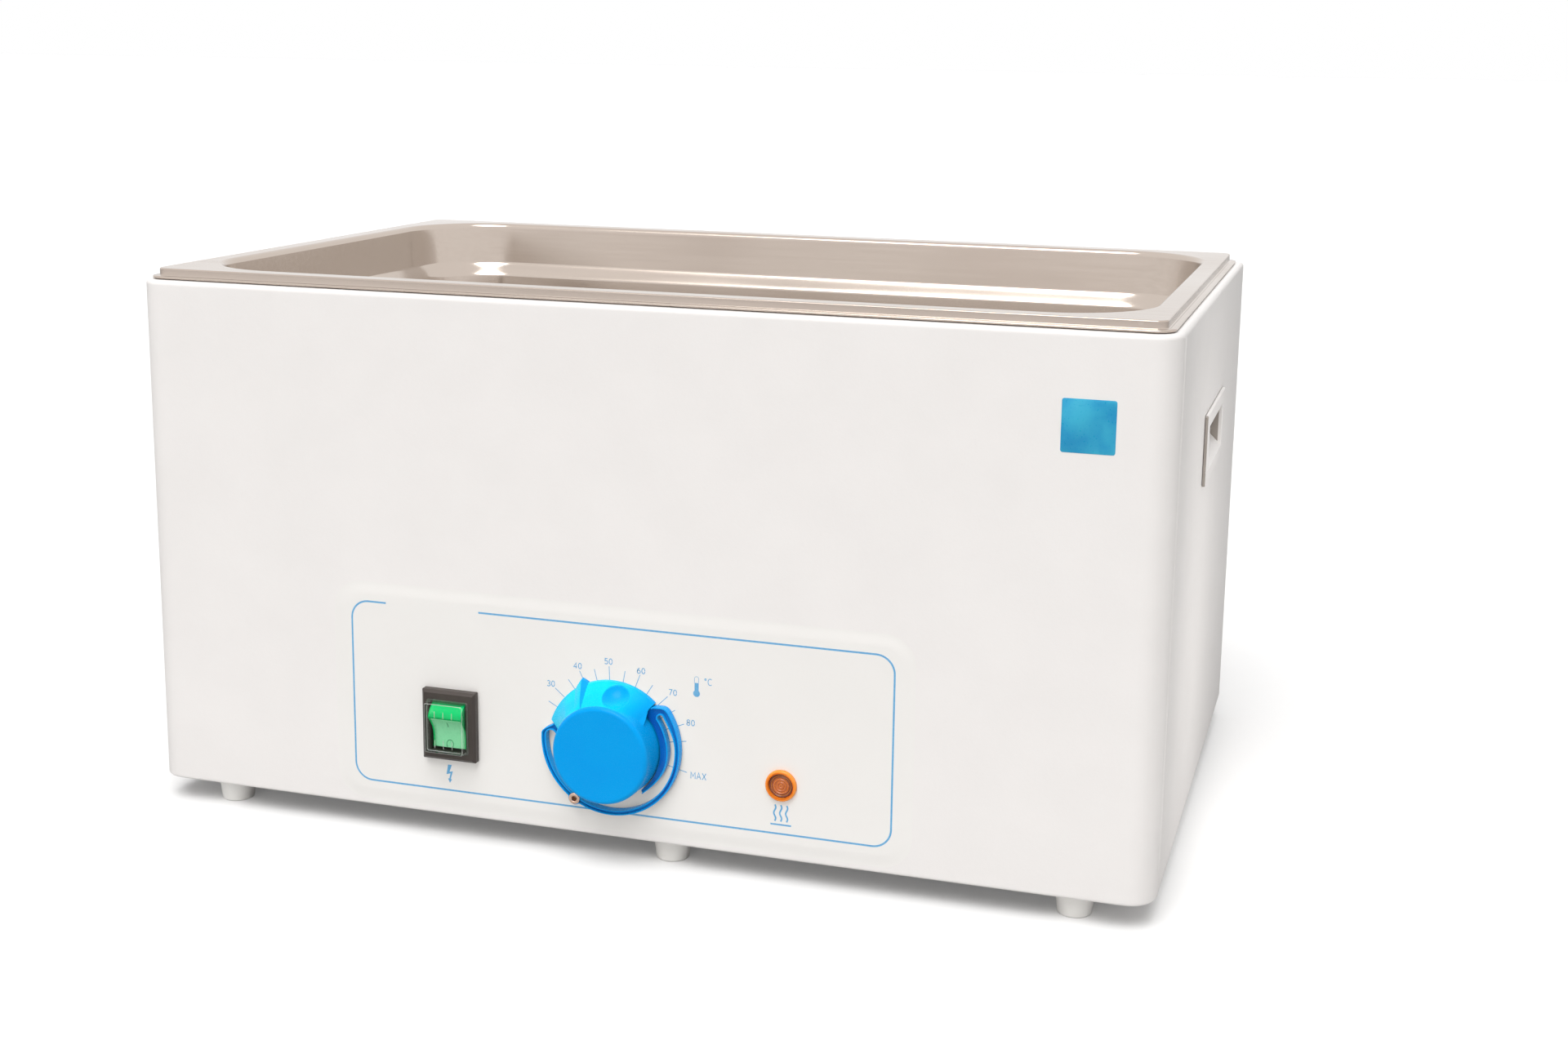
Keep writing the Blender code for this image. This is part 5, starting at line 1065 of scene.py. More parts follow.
@dataclass(frozen=True)
class Print:
    """The overlay's printed marks: frame line, temperature scale and small signs."""

    at: Measures
    dial: Pair = (-0.0025, 0.0502)
    line: float = 0.95 * MM
    fine: float = 0.38 * MM
    majors: tuple[tuple[str, float], ...] = (
        ("30", 140.0), ("40", 116.0), ("50", 92.7), ("60", 69.0), ("70", 44.2), ("80", 21.7), ("MAX", -14.1)
    )
    minors: tuple[float, ...] = (151.5, 127.3, 104.4, 80.4, 57.5, 33.3, 9.2)
    labels: tuple[Pair, ...] = (
        (-0.0365, 0.0789), (-0.0217, 0.0899), (-0.0048, 0.0940), (0.0128, 0.0909), (0.0298, 0.0814),
        (0.0394, 0.0666), (0.0437, 0.0390),
    )
    digit: float = 2.9 * MM
    gap: Pair = (-0.1296, -0.0767)

    def stroke(self, surface: Surface, line: Array, width: float) -> None:
        """Add one printed stroke, a flat bar just proud of the film."""
        low, high = 0.455 * MM, 0.475 * MM
        half = width / 2
        section = np.array([(half, high), (-half, high), (-half, low), (half, low)])
        surface.sweep(line, section, self.at.on_front(0.0, 0.0))

    def outline(self) -> Array:
        """The frame line, open at the bare heading place on its top side."""
        left, right, low, high, radius = -0.1495, 0.1440, 0.0140, 0.1124, 9.5 * MM
        corners = (
            arc((left + radius, high - radius), (radius, radius), 90, 180, 12),
            arc((left + radius, low + radius), (radius, radius), 180, 270, 12),
            arc((right - radius, low + radius), (radius, radius), 270, 360, 12),
            arc((right - radius, high - radius), (radius, radius), 0, 90, 12),
        )
        start = np.array([(self.gap[0], high)])
        end = np.array([(self.gap[1], high)])
        return np.concatenate([start, *corners, end])

    def build(self) -> None:
        """Print everything on the film."""
        surface = Surface()
        self.stroke(surface, self.outline(), self.line)
        centre = np.array(self.dial)
        for reach, angles in ((0.0413, [angle for _, angle in self.majors]), (0.0402, self.minors)):
            for angle in angles:
                way = np.array([math.cos(math.radians(angle)), math.sin(math.radians(angle))])
                self.stroke(surface, centre + np.outer([0.030, reach], way), self.fine)
        sign = Sign()
        for (text, _), label in zip(self.majors, self.labels):
            for line in sign.word(text, label, self.digit * (1.18 if text.isalpha() else 1.0)):
                self.stroke(surface, line, 0.44 * MM)
        for line in sign.word("oC", (0.0486, 0.0889), 3.3 * MM):
            self.stroke(surface, line, 0.40 * MM)
        for line in self.heater():
            self.stroke(surface, line, 0.85 * MM)
        self.thermometer(surface)
        self.spark(surface)
        Piece("printed_marks", Look.INK, weld=False).make(surface)
        self.edge()

    def field(self, surface: Surface, outline: Array) -> None:
        """Add a printed field with any anticlockwise outline."""
        surface.plate(outline, ((0.0, 0.455 * MM), (0.0, 0.475 * MM)), self.at.on_front(0.0, 0.0))

    def thermometer(self, surface: Surface) -> None:
        """A small thermometer: a filled tube and bulb under a thin empty top."""
        bulb = arc((0.0425, 0.0823), (1.8 * MM, 1.8 * MM), 127, 413, 22)
        self.field(surface, np.concatenate([bulb, [(0.0436, 0.0878), (0.0414, 0.0878)]]))
        top = arc((0.0425, 0.0900), (1.1 * MM, 1.1 * MM), 0, 180, 10)
        line = np.concatenate([[(0.0436, 0.0878)], top, [(0.0414, 0.0878)]])
        self.stroke(surface, line, 0.22 * MM)

    def heater(self) -> list[Array]:
        """Three rising waves over a bar."""
        heights = np.linspace(0.0205, 0.0292, 19)
        waves = [
            np.column_stack([x + 0.5 * MM * np.sin((heights - 0.0205) / 0.0087 * 3 * math.pi), heights])
            for x in (0.0842, 0.0873, 0.0904)
        ]
        return waves + [np.array([(0.0820, 0.0188), (0.0928, 0.0188)])]

    def spark(self, surface: Surface) -> None:
        """A lightning stroke: a broad head, a step and a narrow tail with its arrow point."""
        points = (
            (-0.0918, 0.0290), (-0.0939, 0.0290), (-0.0949, 0.0236), (-0.0926, 0.0243), (-0.0933, 0.0214),
            (-0.0940, 0.0213), (-0.0930, 0.0190), (-0.0918, 0.0210), (-0.0925, 0.0211), (-0.0912, 0.0256),
            (-0.0931, 0.0251),
        )
        self.field(surface, np.array(points) + np.array([-0.0016, -0.0010]))

    def edge(self) -> None:
        """A slope round the film's edge down to the paint, as the film's own thin lip."""
        left, right, low, high = -0.1530, 0.1475, 0.0103, 0.1160
        middle = ((left + right) / 2, (low + high) / 2)
        ring = Outline((right - left) / 2, (high - low) / 2, 9 * MM, 0.0, middle).ring(Stations.even(4, 10))
        slope = np.linspace(0, 1, 13)
        rise = 0.455 * (1 - slope * slope * (3 - 2 * slope))
        section = np.concatenate([[(0.4, 0.452)], np.column_stack([-7.0 * slope, rise]), [(-7.0, -0.02), (0.4, -0.02)]])
        section = section * MM
        surface = Surface()
        surface.sweep(ring[:, :2], section, self.at.on_front(0.0, 0.0), True)
        Piece("overlay_edge", Look.FILM, sharp=60.0).make(surface)


@dataclass(frozen=True)
class Sticker:
    """A small plain square of coloured film at the front's upper right, with a softly faded field."""

    at: Measures
    centre: Pair = (0.23225, 0.23125)
    half: float = 12.7 * MM

    def build(self) -> None:
        """Make the square."""
        surface = Surface()
        rings = [
            Outline(self.half - inset, self.half - inset, 1.2 * MM, out)
            for inset, out in ((0.0, 0.02 * MM), (0.0, 0.10 * MM), (0.05 * MM, 0.13 * MM))
        ]
        surface.loft(rings, self.at.on_front(*self.centre), Stations.even())
        Piece("plain_sticker", Look.STICKER).make(surface)


@dataclass(frozen=True)
class Knob:
    """The temperature knob: round face, flared lobe with pointer and finger dimple, hollow underside."""

    at: Measures
    place: Pair = (-0.0025, 0.0502)
    gap: float = 0.6 * MM
    height: float = 18.8 * MM
    base: float = 26.4 * MM
    face: float = 25.6 * MM
    rounding: float = 2.2 * MM
    flare: float = 8.0 * MM
    flare_foot: float = 2.8 * MM
    lobe: Pair = (45.4, 163.8)
    lobe_edge: float = 1.5
    lobe_rise: float = 26.0
    lean: Pair = (5.5 * MM, 1850.0)
    low_share: float = 0.58
    pointer: float = 115.0
    pointer_reach: float = 3.2 * MM
    pointer_sides: Pair = (4.2, 9.0)
    dimple: tuple[float, float, float, float] = (79.0, 10.5 * MM, 3.4 * MM, 10.2 * MM)
    columns: int = 720

    def weight(self, angles: Array, heights: Array) -> Array:
        """The share of the lobe: 0 outside it, 1 within; its right end leans over the ring with height."""
        lean = np.maximum(heights - self.lean[0], 0) * self.lean[1]
        into = np.clip(np.minimum(angles - self.lobe[0] + lean, self.lobe[1] - angles) / self.lobe_edge, 0, 1)
        return into * into * (3 - 2 * into)

    def narrowed(self, heights: Array) -> Array:
        """The width of the ridge's steep side in degrees: full at the foot, narrow at the face."""
        share = (heights - self.flare_foot) / (self.height - self.rounding - self.flare_foot)
        return self.pointer_sides[0] * (1 - 0.8 * np.clip(share, 0, 1))

    def tint(self, angles: Array, heights: Array, pressed: Array) -> Array:
        """The share of the painted lit tone: painted light on the lobe, fading to its right end, with painted shade on
        the ridge's steep side and in the dimple.

        Args:
            angles: degrees from the right, anticlockwise.
            heights: heights over the knob's base.
            pressed: how deep the dimple goes at each place.

        Returns:
            The mark for each place.
        """
        fade = np.clip((angles - 38.0) / 60.0, 0, 1)
        behind = angles - self.pointer
        steep = (behind < 0.2) & (behind > -self.narrowed(heights))
        slant = np.radians(angles - self.dimple[0]) * 30 * MM * 0.8 - (heights - self.dimple[3])
        shade = np.clip(pressed / (0.5 * MM), 0, 1) * np.clip(0.62 + slant / (9 * MM), 0.1, 1)
        return self.weight(angles, heights) * fade * (3 - 2 * fade) * fade * (1 - 0.95 * steep) * (1 - 0.85 * shade)

    def radius(self, angles: Array, heights: Array) -> Array:
        """The outer radius: the round core, plus inside the lobe a flare that falls off with height and a ridge.

        The flare starts lower near the lobe's ends. The ridge is steep on its right and runs out on its left.

        Args:
            angles: degrees from the right, anticlockwise.
            heights: heights over the knob's base.

        Returns:
            The radius for each pair.
        """
        straight = self.height - self.rounding
        core = self.base + (self.face - self.base) * np.minimum(heights / straight, 1)
        over = np.clip((heights - straight) / self.rounding, 0, 1)
        core = core - self.rounding * (1 - np.sqrt(1 - over * over))
        into = np.minimum(angles - self.lobe[0], self.lobe[1] - angles)
        high_share = self.low_share + (1 - self.low_share) * np.clip(into / self.lobe_rise, 0, 1)
        run = (straight - self.flare_foot) * high_share
        fall = np.clip(1 - (heights - self.flare_foot) / run, 0, 1)
        behind = angles - self.pointer
        off = np.maximum(-behind / self.narrowed(heights), behind / self.pointer_sides[1])
        ridge = np.clip(1 - off, 0, 1) * self.pointer_reach * fall**0.6
        return core + self.weight(angles, heights) * (self.flare * fall + ridge)

    def dimpled(self, radii: Array, angles: Array, heights: Array) -> Array:
        """The radius after a ball presses in: where the ball reaches, its near side's distance from the axis."""
        angle, ball, depth, level = self.dimple
        outer = float(self.radius(np.array([angle]), np.array([level]))[0])
        middle = outer + 0.866 * (ball - depth)
        lift = level + 0.5 * (ball - depth)
        turn = np.radians(angles - angle)
        along = middle * np.cos(turn)
        inside = ball * ball - (heights - lift) ** 2 - (middle * np.sin(turn)) ** 2
        near = along - np.sqrt(np.maximum(inside, 0))
        pressed = np.where(inside > 0, near, radii + 1.0)
        soft = 0.25 * MM
        share = np.clip(0.5 + 0.5 * (pressed - radii) / soft, 0, 1)
        mixed = pressed * (1 - share) + radii * share - soft * share * (1 - share)
        return np.where((inside > 0) & (along > 0), mixed, radii)

    def build(self) -> None:
        """Make the knob as one closed skin from its bore over the flank to the middle of its face."""
        angles = np.arange(self.columns) * (360 / self.columns)
        inner = (
            (0.4 * MM, 15.0), (3.1 * MM, 15.0), (3.1 * MM, 6.2), (3.4 * MM, 5.8), (5.2 * MM, 5.8),
            (5.5 * MM, 6.1), (5.5 * MM, 12.5), (20.6 * MM, 12.5), (21.0 * MM, 12.1), (21.0 * MM, 0.3),
            (21.2 * MM, 0.05),
        )
        rows = [np.full((self.columns, 2), (radius, height * MM)) for radius, height in inner]
        marks = [np.zeros(self.columns)] * len(inner)
        straight = self.height - self.rounding
        levels = [0.0, 0.3 * MM, *np.linspace(1.0 * MM, straight, 44)]
        levels += [straight + rise for _, rise in bend(self.rounding, 9)[1:]]
        for level in levels:
            heights = np.full(self.columns, level)
            plain = self.radius(angles, heights)
            radii = self.dimpled(plain, angles, heights)
            # the mark paints the lobe's light, fading to its right end, and shade in the dimple and on the ridge's
            # steep side
            marks.append(self.tint(angles, heights, plain - radii) * (level <= straight))
            radii = radii - 0.25 * MM * (level == 0.0)
            rows.append(np.column_stack([radii, heights]))
        for share in (0.97, 0.85, 0.6, 0.3, 0.08):
            sag = 0.10 * MM * (1 - share * share)
            rows.append(np.column_stack([rows[-1][:, 0] * 0 + 23.4 * MM * share, heights - sag]))
            marks.append(np.zeros(self.columns))
        grid = np.stack(rows)
        turns = np.radians(angles)
        points = np.stack([grid[..., 0] * np.cos(turns), grid[..., 0] * np.sin(turns), grid[..., 1] + self.gap], -1)
        surface = Surface()
        surface.grid(points, self.at.on_front(*self.place), marks=np.stack(marks))
        Piece("knob_skin", Look.KNOB, "knob", ("knob",), sharp=38.0).make(surface)


@dataclass(frozen=True)
class ClipRing:
    """The blue ring clipped round the knob, with solid folded ends, and the eyelet in its boss."""

    at: Measures
    place: Pair = (-0.0025, 0.0502)
    radius: float = 36.3 * MM
    offset: float = 1.3 * MM
    thick: float = 2.6 * MM
    swell: float = 1.1 * MM
    leaf: float = 26.9 * MM
    start: float = 0.7 * MM
    depth: float = 4.5 * MM
    right: float = 33.6
    left: float = 176.0
    ends: Pair = (46.4, 164.2)
    folds: Pair = (33.0, 176.5)
    tips: Pair = (-52.0, 217.0)
    eyelet: float = 238.0
    boss: float = 3.6 * MM
    hole: float = 2.1 * MM

    def band(self, angles: Array, side: int) -> Array:
        """The band's outer (1) or inner (-1) face, bulged round the boss.

        Along each angle the face lies at the band's radius, or at the boss circle's own crossing if that
        reaches farther.
        """
        turn = np.radians(angles - self.eyelet)
        inside = self.boss**2 - (self.radius * np.sin(turn)) ** 2
        crossing = self.radius * np.cos(turn) + side * np.sqrt(np.maximum(inside, 0))
        near = np.clip((angles - 363) / 25, 0, 1) * (side < 0)
        plain = self.radius + side * self.thick / 2 - self.swell * near * near * (3 - 2 * near)
        far = np.maximum(plain, crossing) if side > 0 else np.minimum(plain, crossing)
        radii = np.where((inside > 0) & (np.cos(turn) > 0), far, plain)
        return np.column_stack([
            radii * np.cos(np.radians(angles)), radii * np.sin(np.radians(angles)) + self.offset
        ])

    def outer(self, slit_open: bool) -> Array:
        """The outer side from the left end's inner corner over the band to the right end's inner corner.

        Args:
            slit_open: whether a hair slit leads to the eyelet's hole.
        """
        slit = 0.02
        right, left = (np.radians(angle) for angle in self.ends)
        first = self.band(np.linspace(self.left, self.eyelet - slit, 90), 1)
        spot = self.spot()
        hole = arc(tuple(spot), (self.hole, self.hole), self.eyelet - 1, self.eyelet - 359, 28)
        second = self.band(np.linspace(self.eyelet + slit, self.right + 360, 190), 1)
        left_top = np.array([(32.3 * MM * math.cos(left), 32.3 * MM * math.sin(left)), (-35.3 * MM, 6.4 * MM)])
        right_top = np.array([
            (27.6 * MM, 24.0 * MM), (23.4 * MM, 23.9 * MM), (32.3 * MM * math.cos(right), 32.3 * MM * math.sin(right)),
        ])
        return np.concatenate([
            left_top, self.curve(left_top[1], np.array([-36.9 * MM, 5.3 * MM]), first[0]), first,
            hole if slit_open else first[:0], second,
            self.curve(second[-1], np.array([29.8 * MM, 24.0 * MM]), right_top[0]), right_top,
        ])

    def slits(self) -> Array:
        """The line from the right leaf's tip along its back, round the fold, inside the band and to the left tip."""
        inside = self.band(np.linspace(self.folds[0] + 360, self.folds[1], 260), -1)
        right = self.leaf_back(self.tips[0], self.folds[0], 60, 1.9 * MM, 4.5 * MM)
        left = self.leaf_back(self.tips[1], self.folds[1], 26, 1.4 * MM, 2.6 * MM)[::-1]
        return np.concatenate([
            right, self.turn_round(right[-1], inside[0]), inside, self.turn_round(inside[-1], left[0]), left
        ])

    def spot(self) -> Array:
        """The eyelet's middle."""
        turn = math.radians(self.eyelet)
        return np.array([self.radius * math.cos(turn), self.radius * math.sin(turn) + self.offset])

    def outline(self) -> Array:
        """The whole ring's outline, anticlockwise, with a hair slit to the eyelet's hole."""
        size = (self.leaf, self.leaf)
        line = np.concatenate([
            self.outer(True), arc((0, 0), size, self.ends[0], self.tips[0], 64), self.slits(),
            arc((0, 0), size, self.tips[1], self.ends[1], 32),
        ])
        gaps = np.linalg.norm(line - np.roll(line, 1, axis=0), axis=1)
        line = line[gaps > 0.004 * MM]
        return self.softened(line, 0.5 * MM, np.linalg.norm(line - self.spot(), axis=1) > 5.0 * MM)

    @staticmethod
    def curve(first: Array, corner: Array, last: Array) -> Array:
        """The points between two ends on the parabola whose end tangents meet at the corner."""
        share = np.linspace(0, 1, 9)[1:-1, None]
        return first * (1 - share) ** 2 + corner * 2 * share * (1 - share) + last * share**2

    def leaf_back(self, tip: float, fold: float, steps: int, thin: float, thick: float) -> Array:
        """A folded leaf's outer face from its tip to the fold, its thickness growing softly from thin to thick."""
        turns = np.radians(np.linspace(tip, fold, steps + 1))
        share = np.clip(np.linspace(0, 1, steps + 1) / 0.62, 0, 1)
        radii = self.leaf + thin + (thick - thin) * share * share * (3 - 2 * share)
        return np.column_stack([radii * np.cos(turns), radii * np.sin(turns)])

    @staticmethod
    def turn_round(first: Array, last: Array) -> Array:
        """A half circle from one point to another, bulging to the left of the way between them."""
        middle, arm = (first + last) / 2, (first - last) / 2
        side = np.array([arm[1], -arm[0]])
        turns = np.linspace(0, math.pi, 14)[1:-1, None]
        return middle + arm * np.cos(turns) + side * np.sin(turns)

    @staticmethod
    def softened(line: Array, corner: float, where: Array) -> Array:
        """The outline with each sharp corner, where wanted, cut back along both sides by a length."""
        before, after = np.roll(line, 1, axis=0) - line, np.roll(line, -1, axis=0) - line
        reach_before = np.linalg.norm(before, axis=1, keepdims=True)
        reach_after = np.linalg.norm(after, axis=1, keepdims=True)
        cosine = np.sum(before * after, axis=1, keepdims=True) / (reach_before * reach_after)
        sharp = (cosine > -0.6) & where[:, None]
        back = np.minimum(corner, reach_before * 0.45)
        forth = np.minimum(corner, reach_after * 0.45)
        first = np.where(sharp, line + before / reach_before * back, line)
        last = np.where(sharp, line + after / reach_after * forth, line)
        both = np.stack([first, last], axis=1).reshape(-1, 2)
        keep = np.stack([np.ones(len(line), bool), sharp[:, 0]], axis=1).reshape(-1)
        return both[keep]

    def build(self) -> None:
        """Make the ring as one softly edged plate, and the eyelet as a turned tube with a rolled head."""
        surface = Surface()
        low, high = self.start, self.start + self.depth
        soft = 0.18 * MM
        edge = bend(soft, 3)
        levels = [(soft - rise, low + inset) for inset, rise in edge]
        levels += [(inset, high - 1.1 * MM - soft + rise) for inset, rise in edge]
        here = self.at.on_front(*self.place)
        plan = self.outline()
        surface.plate(plan, levels, here)
        # the plate's top face between the ribs takes the dark marked tone: painted shade in the groove and on the
        # leaves
        surface.marks[0] = np.arange(len(surface.points[0])) >= len(surface.points[0]) - len(plan)
        section = Outline(0.33 * MM, 0.75 * MM, 0.22 * MM).ring(Stations.even(1, 5, 0.2))[:, :2]
        for line in (self.outer(False), self.slits()):
            line = line[np.linalg.norm(line - np.roll(line, 1, axis=0), axis=1) > 0.004 * MM]
            rim = line + normals(line, False) * 0.36 * MM
            surface.sweep(rim, section + np.array([0.0, high - 0.75 * MM]), here)
        Piece("clip_ring_skin", Look.RING, "knob", ("clip_ring",), sharp=40.0).make(surface)
        spot = np.array(self.place) + self.spot()
        head = high + 0.3 * MM
        profile = [(1.3 * MM, low), (1.8 * MM, low), (1.8 * MM, head), (2.7 * MM, head), (3.0 * MM, head + 0.25 * MM)]
        profile += [(float(r), float(h)) for r, h in arc((2.15 * MM, head + 0.35 * MM), (0.85 * MM, 0.55 * MM), 5, 175, 12)]
        surface = Surface()
        surface.turned(profile, self.at.on_front(*spot), 48, True)
        Piece("eyelet_skin", Look.NICKEL, "knob", ("ring_eyelet",)).make(surface)


@dataclass(frozen=True)
class Switch:
    """The mains switch: body with bevelled bezel and well, moulded rocker, clear cover."""

    at: Measures
    place: Pair = (-0.0927, 0.0508)
    bezel: Pair = (15.1 * MM, 18.9 * MM)
    rise: float = 5.3 * MM
    chamfer: float = 1.5 * MM
    well: Pair = (10.0 * MM, 13.8 * MM)
    well_depth: float = 13.0 * MM
    body: Pair = (12.8 * MM, 16.1 * MM)
    body_depth: float = 26 * MM
    rocker_half: float = 9.3 * MM
    rocker_radius: float = 13.5 * MM
    tip: float = 19.0
    pivot: float = 3.0 * MM
    edge_angle: float = 44.0
    back_angle: float = 95.0
    middle: float = 7.2 * MM

    def body_skin(self) -> None:
        """Body behind the panel, flange, bevelled bezel and the well, with four blades."""
        here = self.at.on_front(*self.place)
        surface = Surface()
        base = 0.45 * MM
        side_u, side_v = self.bezel
        soft = 0.5 * MM
        rows = [
            (0.4 * MM, self.body, -self.body_depth), (0.0, self.body, -self.body_depth + 0.4 * MM),
            (0.0, self.body, base), (0.2 * MM, self.bezel, base), (0.0, self.bezel, base + 0.2 * MM),
            (0.0, self.bezel, self.rise - self.chamfer), (self.chamfer, self.bezel, self.rise),
            (-0.3 * MM, self.well, self.rise), (0.0, self.well, self.rise - 0.3 * MM),
            (0.0, self.well, self.rise - self.well_depth),
        ]
        rings = [Outline(u - inset, v - inset, soft, out) for inset, (u, v), out in rows]
        surface.loft(rings, here, Stations.even(2, 4))
        for u in (-6.3 * MM, 6.3 * MM):
            for v in (-6.3 * MM, 6.3 * MM):
                ends = (-self.body_depth - 8 * MM, -self.body_depth + 2 * MM)
                blade = [Outline(3.15 * MM, 0.4 * MM, 0.2 * MM, out, (u, v)) for out in ends]
                surface.loft(blade, here, Stations.even(1, 2))
        Piece("switch_skin", Look.BLACK, nodes=("switch_body",), sharp=25.0).make(surface)

    def section(self) -> Array:
        """The rocker's section, out and up about its pivot: two arcs and a dished front between them."""
        arcs = arc((0, 0), (self.rocker_radius, self.rocker_radius), self.back_angle, self.edge_angle, 12)
        corner = arcs[-1]
        share = np.linspace(0, 1, 13)[1:]
        dish_out = corner[0] + (self.middle - corner[0]) * np.sin(share * math.pi / 2)
        dish_up = corner[1] * (1 - share)
        upper = np.concatenate([arcs, np.column_stack([dish_out, dish_up])])
        lower = upper[:-1][::-1] * np.array([1.0, -1.0])
        return np.concatenate([upper, lower])

    def rocker_skin(self) -> None:
        """The rocker, tipped with its top out, as rings of its section with softened side edges."""
        turn = math.radians(self.tip)
        line = self.section()
        out = line[:, 0] * math.cos(turn) - line[:, 1] * -math.sin(turn)
        up = -line[:, 0] * math.sin(turn) + line[:, 1] * math.cos(turn)
        flat = np.column_stack([up, out - self.pivot])
        side = normals(flat, True)
        levels = []
        edge = bend(0.45 * MM, 4)
        levels += [(0.45 * MM - rise, -self.rocker_half + inset) for inset, rise in edge]
        levels += [(inset, self.rocker_half - 0.45 * MM + rise) for inset, rise in edge]
        rows = []
        for inset, across in levels:
            moved = flat - side * inset
            rows.append(np.column_stack([np.full(len(flat), across), moved]))
        surface = Surface()
        here = self.at.on_front(*self.place)
        surface.grid(np.stack(rows)[::-1], here)
        Piece("rocker_skin", Look.GREEN, "rocker", ("switch_rocker",), sharp=30.0).make(surface)
        first, last = 14, len(flat) - 3
        dish = flat[first:last] + side[first:last] * -0.04 * MM
        spots = np.linspace(-self.rocker_half + 0.75 * MM, self.rocker_half - 0.75 * MM, 9)
        rows = [np.column_stack([np.full(len(dish), spot), dish]) for spot in spots]
        veil = Surface()
        veil.grid(np.stack(rows)[::-1], here, closed=False, caps=(False, False))
        Piece("rocker_face", Look.PALE_GREEN, "rocker", sheet=0.03 * MM, sharp=60.0).make(veil)
        marks = Surface()
        self.mark(marks, dish, arc((0.0, 0.60), (1.9 * MM, 0.085), 0, 352, 28), True)
        self.mark(marks, dish, np.array([(0.0, 0.10), (0.0, 0.22)]), False)
        Piece("rocker_marks", Look.DARK_GREEN, "rocker", sharp=60.0).make(marks)

    def mark(self, surface: Surface, dish: Array, line: Array, closed: bool) -> None:
        """Add a raised line on the rocker's face.

        Args:
            surface: where it goes.
            dish: the face's section, up and out, from its upper to its lower edge.
            line: points across, and as a share of the way down the face.
            closed: whether the line's end joins its start.
        """
        reach = np.concatenate([[0], np.cumsum(np.linalg.norm(np.diff(dish, axis=0), axis=1))])
        scale = reach[-1]
        flat = np.column_stack([line[:, 0], -line[:, 1] * scale])
        side = normals(flat, closed)
        rows = []
        for left, lift in ((0.22, 0.06), (-0.22, 0.06), (-0.22, -0.02), (0.22, -0.02)):
            moved = flat + side * left * MM
            spots = -moved[:, 1]
            up = np.interp(spots, reach, dish[:, 0])
            out = np.interp(spots, reach, dish[:, 1]) + lift * MM
            rows.append(np.column_stack([moved[:, 0], up, out]))
        bar = np.stack(rows, axis=1)
        if closed:
            bar = np.concatenate([bar, bar[:1]])
        surface.grid(bar, self.at.on_front(*self.place), caps=(not closed, not closed))

    def cover_skin(self) -> None:
        """The clear cover: a thin tapered box with painted highlights on its outer edges, open at the back."""
        stations = Stations.even(2, 5, 0.03)
        half_u, half_v, taper, wall = 11.6 * MM, 14.1 * MM, 0.9 * MM, 0.8 * MM
        base, top = self.rise + 0.3 * MM, self.rise + 5.5 * MM
        rows = [
            (wall, base, 0.2), (0.1 * MM, base, 0.2), (0.0, base + 0.12 * MM, 0.5), (0.02 * MM, base + 0.26 * MM, 0.0),
            (taper - 0.02 * MM, top - 0.24 * MM, 0.0), (taper, top - 0.14 * MM, 0.5),
            (taper + 0.16 * MM, top, 0.6), (taper + 0.26 * MM, top, 0.0), (6.0 * MM, top, 0.0),
        ]
        inner = [
            (6.0 * MM, top - wall, 0.0), (taper + wall + 0.3 * MM, top - wall, 0.0),
            (taper + wall, top - wall - 0.3 * MM, 0.0), (wall + 0.05 * MM, base + 0.3 * MM, 0.0),
        ]
        here = self.at.on_front(*self.place)
        surface = Surface()
        for group, caps in ((rows, (False, True)), (inner, (True, False))):
            rings = [Outline(half_u - inset, half_v - inset, 1.0 * MM, out).ring(stations) for inset, out, _ in group]
            # painted edge highlights, kept to 0.15 along the right side
            faint = 1 - 0.85 * (rings[0][:, 0] > half_u - 0.3 * MM)
            marks = np.stack([mark * faint for _, _, mark in group])
            surface.grid(np.stack(rings), here, caps=caps, marks=marks)
        Piece("cover_skin", Look.CLEAR, nodes=("switch_cover",)).make(surface)
        moulded = Surface()
        for v, length in ((7.6 * MM, 3.6 * MM), (-8.2 * MM, 4.4 * MM)):
            for u in (-4.9 * MM, 0.0, 4.9 * MM):
                line = np.array([(u, v - length / 2), (u, v + length / 2)])
                section = np.array([(0.15, 5.56), (-0.15, 5.56), (-0.15, 5.46), (0.15, 5.46)]) * MM
                section[:, 1] += self.rise
                moulded.sweep(line, section, here)
        # the moulded lines take the pale tone at 0.45: painted highlights along them
        moulded.marks = [np.full(len(points), 0.45) for points in moulded.points]
        Piece("cover_lines", Look.CLEAR).make(moulded)

    def build(self) -> None:
        """Make body, rocker and cover."""
        self.body_skin()
        self.rocker_skin()
        self.cover_skin()


